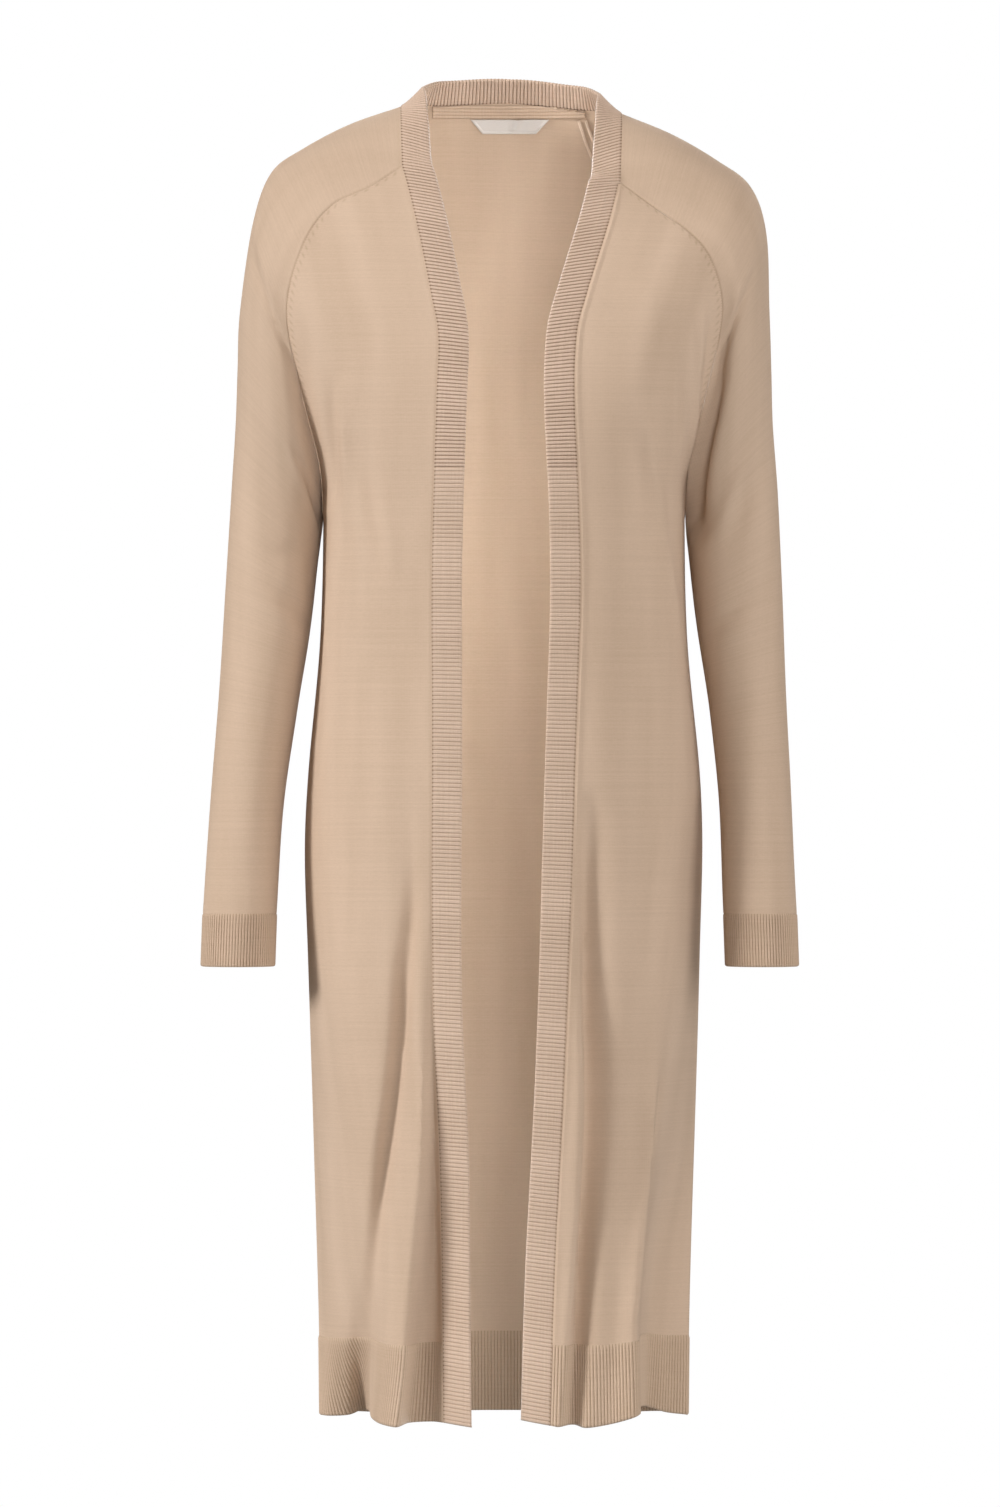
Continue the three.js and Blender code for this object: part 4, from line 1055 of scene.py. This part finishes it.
BAND_WIDTHS = [0, 0.03, 0.07, 0.13, 0.25, 0.4, 0.55, 0.7, 0.82, 0.9, 0.95, 0.98, 1]
band_rib = knit("band_rib", BAND_GREY, BAND_RIB["pitch"], course=1.2, relief=0.3, groove=0.24,
                trim="linked edge")
neck_rib = knit("neck_rib", NECK_GREY, NECK_RIB["pitch"], course=1.2, relief=0.3, groove=0.55,
                trim="linked edge")
upper = {}
for name, side in SIDES.items():
    seam, free, heights = band_lines(side)
    above = np.argmax(heights > BAND_JOIN)
    share = (BAND_JOIN - heights[above - 1]) / (heights[above] - heights[above - 1])
    join_seam = seam[above - 1] + (seam[above] - seam[above - 1]) * share
    join_free = free[above - 1] + (free[above] - free[above - 1]) * share
    lower_grid = np.stack([np.vstack([seam[:above], join_seam]), np.vstack([free[:above], join_free])])
    upper[side] = np.stack([np.vstack([join_seam, seam[above:]]), np.vstack([join_free, free[above:]])])
    band, flat = ribbed("rib_band_" + name, lower_grid, side, BAND_WIDTHS, **BAND_RIB)
    sewn(band, ("band_" + name,), "band_rib", band_rib, flat)
neck_grid = np.concatenate([upper[-1], upper[1][:, ::-1][:, 1:]], 1)
neck_band, flat = ribbed("rib_neck_band", neck_grid, -1, BAND_WIDTHS, **NECK_RIB)
sewn(neck_band, ("neck_band",), "band_rib", neck_rib, flat)


# Hem ribs
# The fronts and the back end in a deep one-and-one rib, knitted on with its ribs upright.

HEM_RIB = {"pitch": 2.8, "height": 0.8, "thickness": 1.4, "crown": 0, "back_height": 0.5}
HEM_COLOR = (0.58, 0.435, 0.32)
HEM_WIDTHS = [0, 0.015, 0.04, 0.1, 0.2, 0.3, 0.4, 0.5, 0.6, 0.7, 0.8, 0.9, 0.96, 0.985, 1]
FRONT_STEPS = 120

hem_rib = knit("hem_rib", HEM_COLOR, HEM_RIB["pitch"], course=1.1, relief=0.3, groove=0.42)
edge_shares = np.linspace(0, 1, FRONT_STEPS + 1)
back_shares = np.linspace(0, 1, 2 * FRONT_STEPS + 1)
hem_lines = {}
for name, side in SIDES.items():
    front_lines = [front_row(side, station, edge_shares) for station in hem_rows]
    hem_lines["front_" + name] = (-side, front_lines)
hem_lines["back"] = (1, [back_row(station, back_shares) for station in hem_rows])
for name, (facing, lines) in hem_lines.items():
    hem, flat = ribbed("rib_hem_" + name, np.stack(lines), facing, HEM_WIDTHS, **HEM_RIB)
    sewn(hem, ("hem_" + name,), "hem_rib", hem_rib, flat)


# Cuffs
# Each sleeve ends in a closed cuff of finer one-and-one rib.

CUFF_TOP = -666
CUFF_END = -710
CUFF_ROWS = 8
CUFF_OUT = 1.5
CUFF_FORWARD = -2
CUFF_RIB = {"pitch": 2.4, "height": 0.75, "thickness": 1.3, "crown": 0, "back_height": 0.5}
CUFF_COLOR = (0.56, 0.415, 0.305)

cuff_rib = knit("cuff_rib", CUFF_COLOR, CUFF_RIB["pitch"], course=1.0, relief=0.25, groove=0.42)
for name, side in SIDES.items():
    ring = sleeve_ring(side, last_ring, edge_shares)
    rows = []
    for down in np.linspace(0, 1, CUFF_ROWS):
        row = ring + np.array([side * CUFF_OUT, CUFF_FORWARD, 0]) * down
        row[:, 2] = CUFF_TOP + (CUFF_END - CUFF_TOP) * down
        rows.append(row)
    cuff, flat = ribbed("rib_cuff_" + name, np.stack(rows), -side, HEM_WIDTHS, **CUFF_RIB)
    sewn(cuff, ("cuff_" + name,), "cuff_rib", cuff_rib, flat)


# Neck tape
# A narrow ribbed tape is stitched over the neck seam inside the back, its ribs lengthwise.

LAID_GAP = 0.8
TAPE = {"from": -60, "to": 68, "top": 9, "bottom": -1.5, "thickness": 1.0, "ribs": 4, "rib": 0.4}
SEARCH_STEPS = 14
TAPE_COLOR = (0.6, 0.45, 0.34)
inner_face = back_grid - grid_normals(back_grid) * CLOTH
inward = -grid_normals(back_grid)


def read_grid(grid, row, column):
    r, c = min(int(row), len(grid) - 2), min(int(column), grid.shape[1] - 2)
    left, right = grid[r:r + 2, c], grid[r:r + 2, c + 1]
    pair = left + (right - left) * (column - c)
    return pair[0] + (pair[1] - pair[0]) * (row - r)


def inside_back(x, z, distance):
    """A point on the inside of the back at a given x and z, moved in by a distance."""
    row, column = 4.0, inner_face.shape[1] / 2
    for _ in range(SEARCH_STEPS):
        here = read_grid(inner_face, row, column)
        below, beside = read_grid(inner_face, row + 1, column), read_grid(inner_face, row, column + 1)
        column = np.clip(column + (x - here[0]) / (beside[0] - here[0]), 1, inner_face.shape[1] - 3)
        row = np.clip(row + (z - here[2]) / (below[2] - here[2]), 0, len(shoulder_rings) - 2)
    return read_grid(inner_face, row, column) + read_grid(inward, row, column) * distance


def laid_piece(name, xs, zs, rise, across, up, thickness):
    """A thin trim on the inside of the back: xs and zs give its points, rise their height."""
    points = np.stack([
        np.stack([inside_back(x, z, LAID_GAP + thickness + h) for x, z, h in zip(*row)])
        for row in zip(xs, zs, rise)
    ])
    piece = sheet_of(name, points, across, up, -1)
    thickened(piece, thickness)
    return piece


tape_width = TAPE["top"] - TAPE["bottom"]
tape_length = TAPE["to"] - TAPE["from"]
tape_pitch = tape_width / TAPE["ribs"]
down, along = np.meshgrid(np.linspace(0, 1, 41), np.linspace(0, 1, 141), indexing="ij")
rise = TAPE["rib"] * (abs(np.sin(np.pi * TAPE["ribs"] * down)) - 1)
tape = laid_piece(
    "neck_tape_knit", TAPE["from"] + tape_length * along, TAPE["top"] - tape_width * down, rise,
    down * tape_width, along * tape_length, TAPE["thickness"],
)
tape_rib = knit("tape_rib", TAPE_COLOR, tape_pitch, course=1.3, relief=0.25, groove=0.35)
sewn(tape, ("neck_tape",), "tape", tape_rib, (tape_width * MM, tape_length * MM), held="laid")


# Label
# A blank ribbon of pale satin, folded under with mitred ends, is caught under the tape.

LABEL = {
    "top_from": -28, "top_to": 38, "top": -2.5, "bottom_from": -18, "bottom_to": 27, "bottom": -14,
    "thickness": 0.9, "border": 1.7, "fold": 0.5, "fold_edge": 0.5, "fold_start": 0.3,
}
BUCKLE = {"x": 10, "z": -8, "slope": 0.4, "width": 3.5, "height": 1.5, "from_border": 5}
SATIN_COLOR = (0.7, 0.65, 0.61)
SATIN_YARN = 0.35
SATIN_FLECKS = (300, 2600, 2)
SATIN_BUMP = 0.35
SATIN_RELIEF = 0.12
SATIN_FINISH = {"Specular IOR Level": 0.6, "Sheen Weight": 0.3}
down, along = np.meshgrid(np.linspace(0, 1, 33), np.linspace(0, 1, 121), indexing="ij")
label_left = LABEL["top_from"] + (LABEL["bottom_from"] - LABEL["top_from"]) * down
label_right = LABEL["top_to"] + (LABEL["bottom_to"] - LABEL["top_to"]) * down
xs = label_left + (label_right - label_left) * along
label_drop = LABEL["top"] - LABEL["bottom"]
zs = LABEL["top"] - label_drop * down
mitre = math.cos(math.atan2(LABEL["bottom_from"] - LABEL["top_from"], label_drop))
from_sides = np.minimum(xs - label_left, label_right - xs) * mitre
from_border = np.minimum(from_sides, zs - LABEL["bottom"])
rise = LABEL["fold"] * (1 - smooth((from_border - LABEL["border"]) / LABEL["fold_edge"]))
rise *= smooth(from_border / LABEL["fold_edge"] + LABEL["fold_start"])
buckle = hump(xs, BUCKLE["x"] + BUCKLE["slope"] * (zs - BUCKLE["z"]), BUCKLE["width"])
rise += BUCKLE["height"] * buckle * smooth(from_border / BUCKLE["from_border"])


def satin(name, color, yarn):
    """Woven ribbon: fine weft across a smooth, shining warp, a little worn and uneven."""
    material, tree, shader = new_material(name)
    across, up = cloth_place(tree)
    turns = [number(tree, "MULTIPLY", way, math.pi / (yarn * MM)) for way in (up, across)]
    weft, warp = (number(tree, "ABSOLUTE", number(tree, "SINE", turn)) for turn in turns)
    fleck = streaks(tree, across, up, *SATIN_FLECKS)
    tone = number(tree, "MULTIPLY_ADD", fleck, 0.16, 0.8)
    tone = number(tree, "MULTIPLY_ADD", weft, 0.1, tone)
    tinted(tree, shader, color, [tone] * 3)
    bumped(tree, shader, number(tree, "MULTIPLY_ADD", warp, 0.4, weft), SATIN_BUMP, SATIN_RELIEF)
    tree.links.new(number(tree, "MULTIPLY_ADD", fleck, 0.15, 0.3), shader.inputs["Roughness"])
    for socket, value in SATIN_FINISH.items():
        shader.inputs[socket].default_value = value
    return material


label = laid_piece("label_ribbon", xs, zs, rise, xs, zs, LABEL["thickness"])
flat = ((LABEL["top_to"] - LABEL["top_from"]) * MM, label_drop * MM)
area = (xs[0, -1] - xs[0, 0] + xs[-1, -1] - xs[-1, 0]) / 2 * label_drop * MM * MM
blank_satin = satin("blank_satin", SATIN_COLOR, SATIN_YARN)
sewn(label, ("label",), "satin", blank_satin, flat, area, held="laid")


# Hanger loop
# A thin ribbon is caught by both its ends under the left end of the tape, and hangs free.

LOOP_WIDTH = 2.6
LOOP_THICKNESS = 0.9
LOOP_CROWN = 0.35
LOOP_COLOR = (0.76, 0.6, 0.48)
LOOP_PATH = table("x z", [
    [63, -3.5], [66.5, -14], [71, -27],
    [75.5, -36], [80, -38], [81, -33],
    [77, -24], [72.5, -13], [69, -3.5],
])
steps = np.linspace(0, len(LOOP_PATH["x"]) - 1, 121)
path = np.stack([curve(range(len(LOOP_PATH["x"])), LOOP_PATH[axis], steps) for axis in "xz"], 1)
heading = np.gradient(path, axis=0)
heading /= np.linalg.norm(heading, axis=1)[:, None]
width = np.linspace(-0.5, 0.5, 9)[:, None] * LOOP_WIDTH
xs = path[None, :, 0] - width * heading[None, :, 1]
zs = path[None, :, 1] + width * heading[None, :, 0]
rise = np.repeat(LOOP_CROWN * (1 - (2 * width / LOOP_WIDTH) ** 2), len(path), 1)
loop_run = length_along(path)[None, :].repeat(len(width), 0)
loop_across = width.repeat(len(path), 1)
hanger_loop = laid_piece(
    "loop_ribbon", xs[::-1], zs[::-1], rise, loop_across, loop_run, LOOP_THICKNESS,
)
loop_rib = knit("loop_rib", LOOP_COLOR, LOOP_WIDTH / 2, course=1.1, relief=0.2, groove=0.35)
sewn(hanger_loop, ("hanger_loop",), "loop", loop_rib)
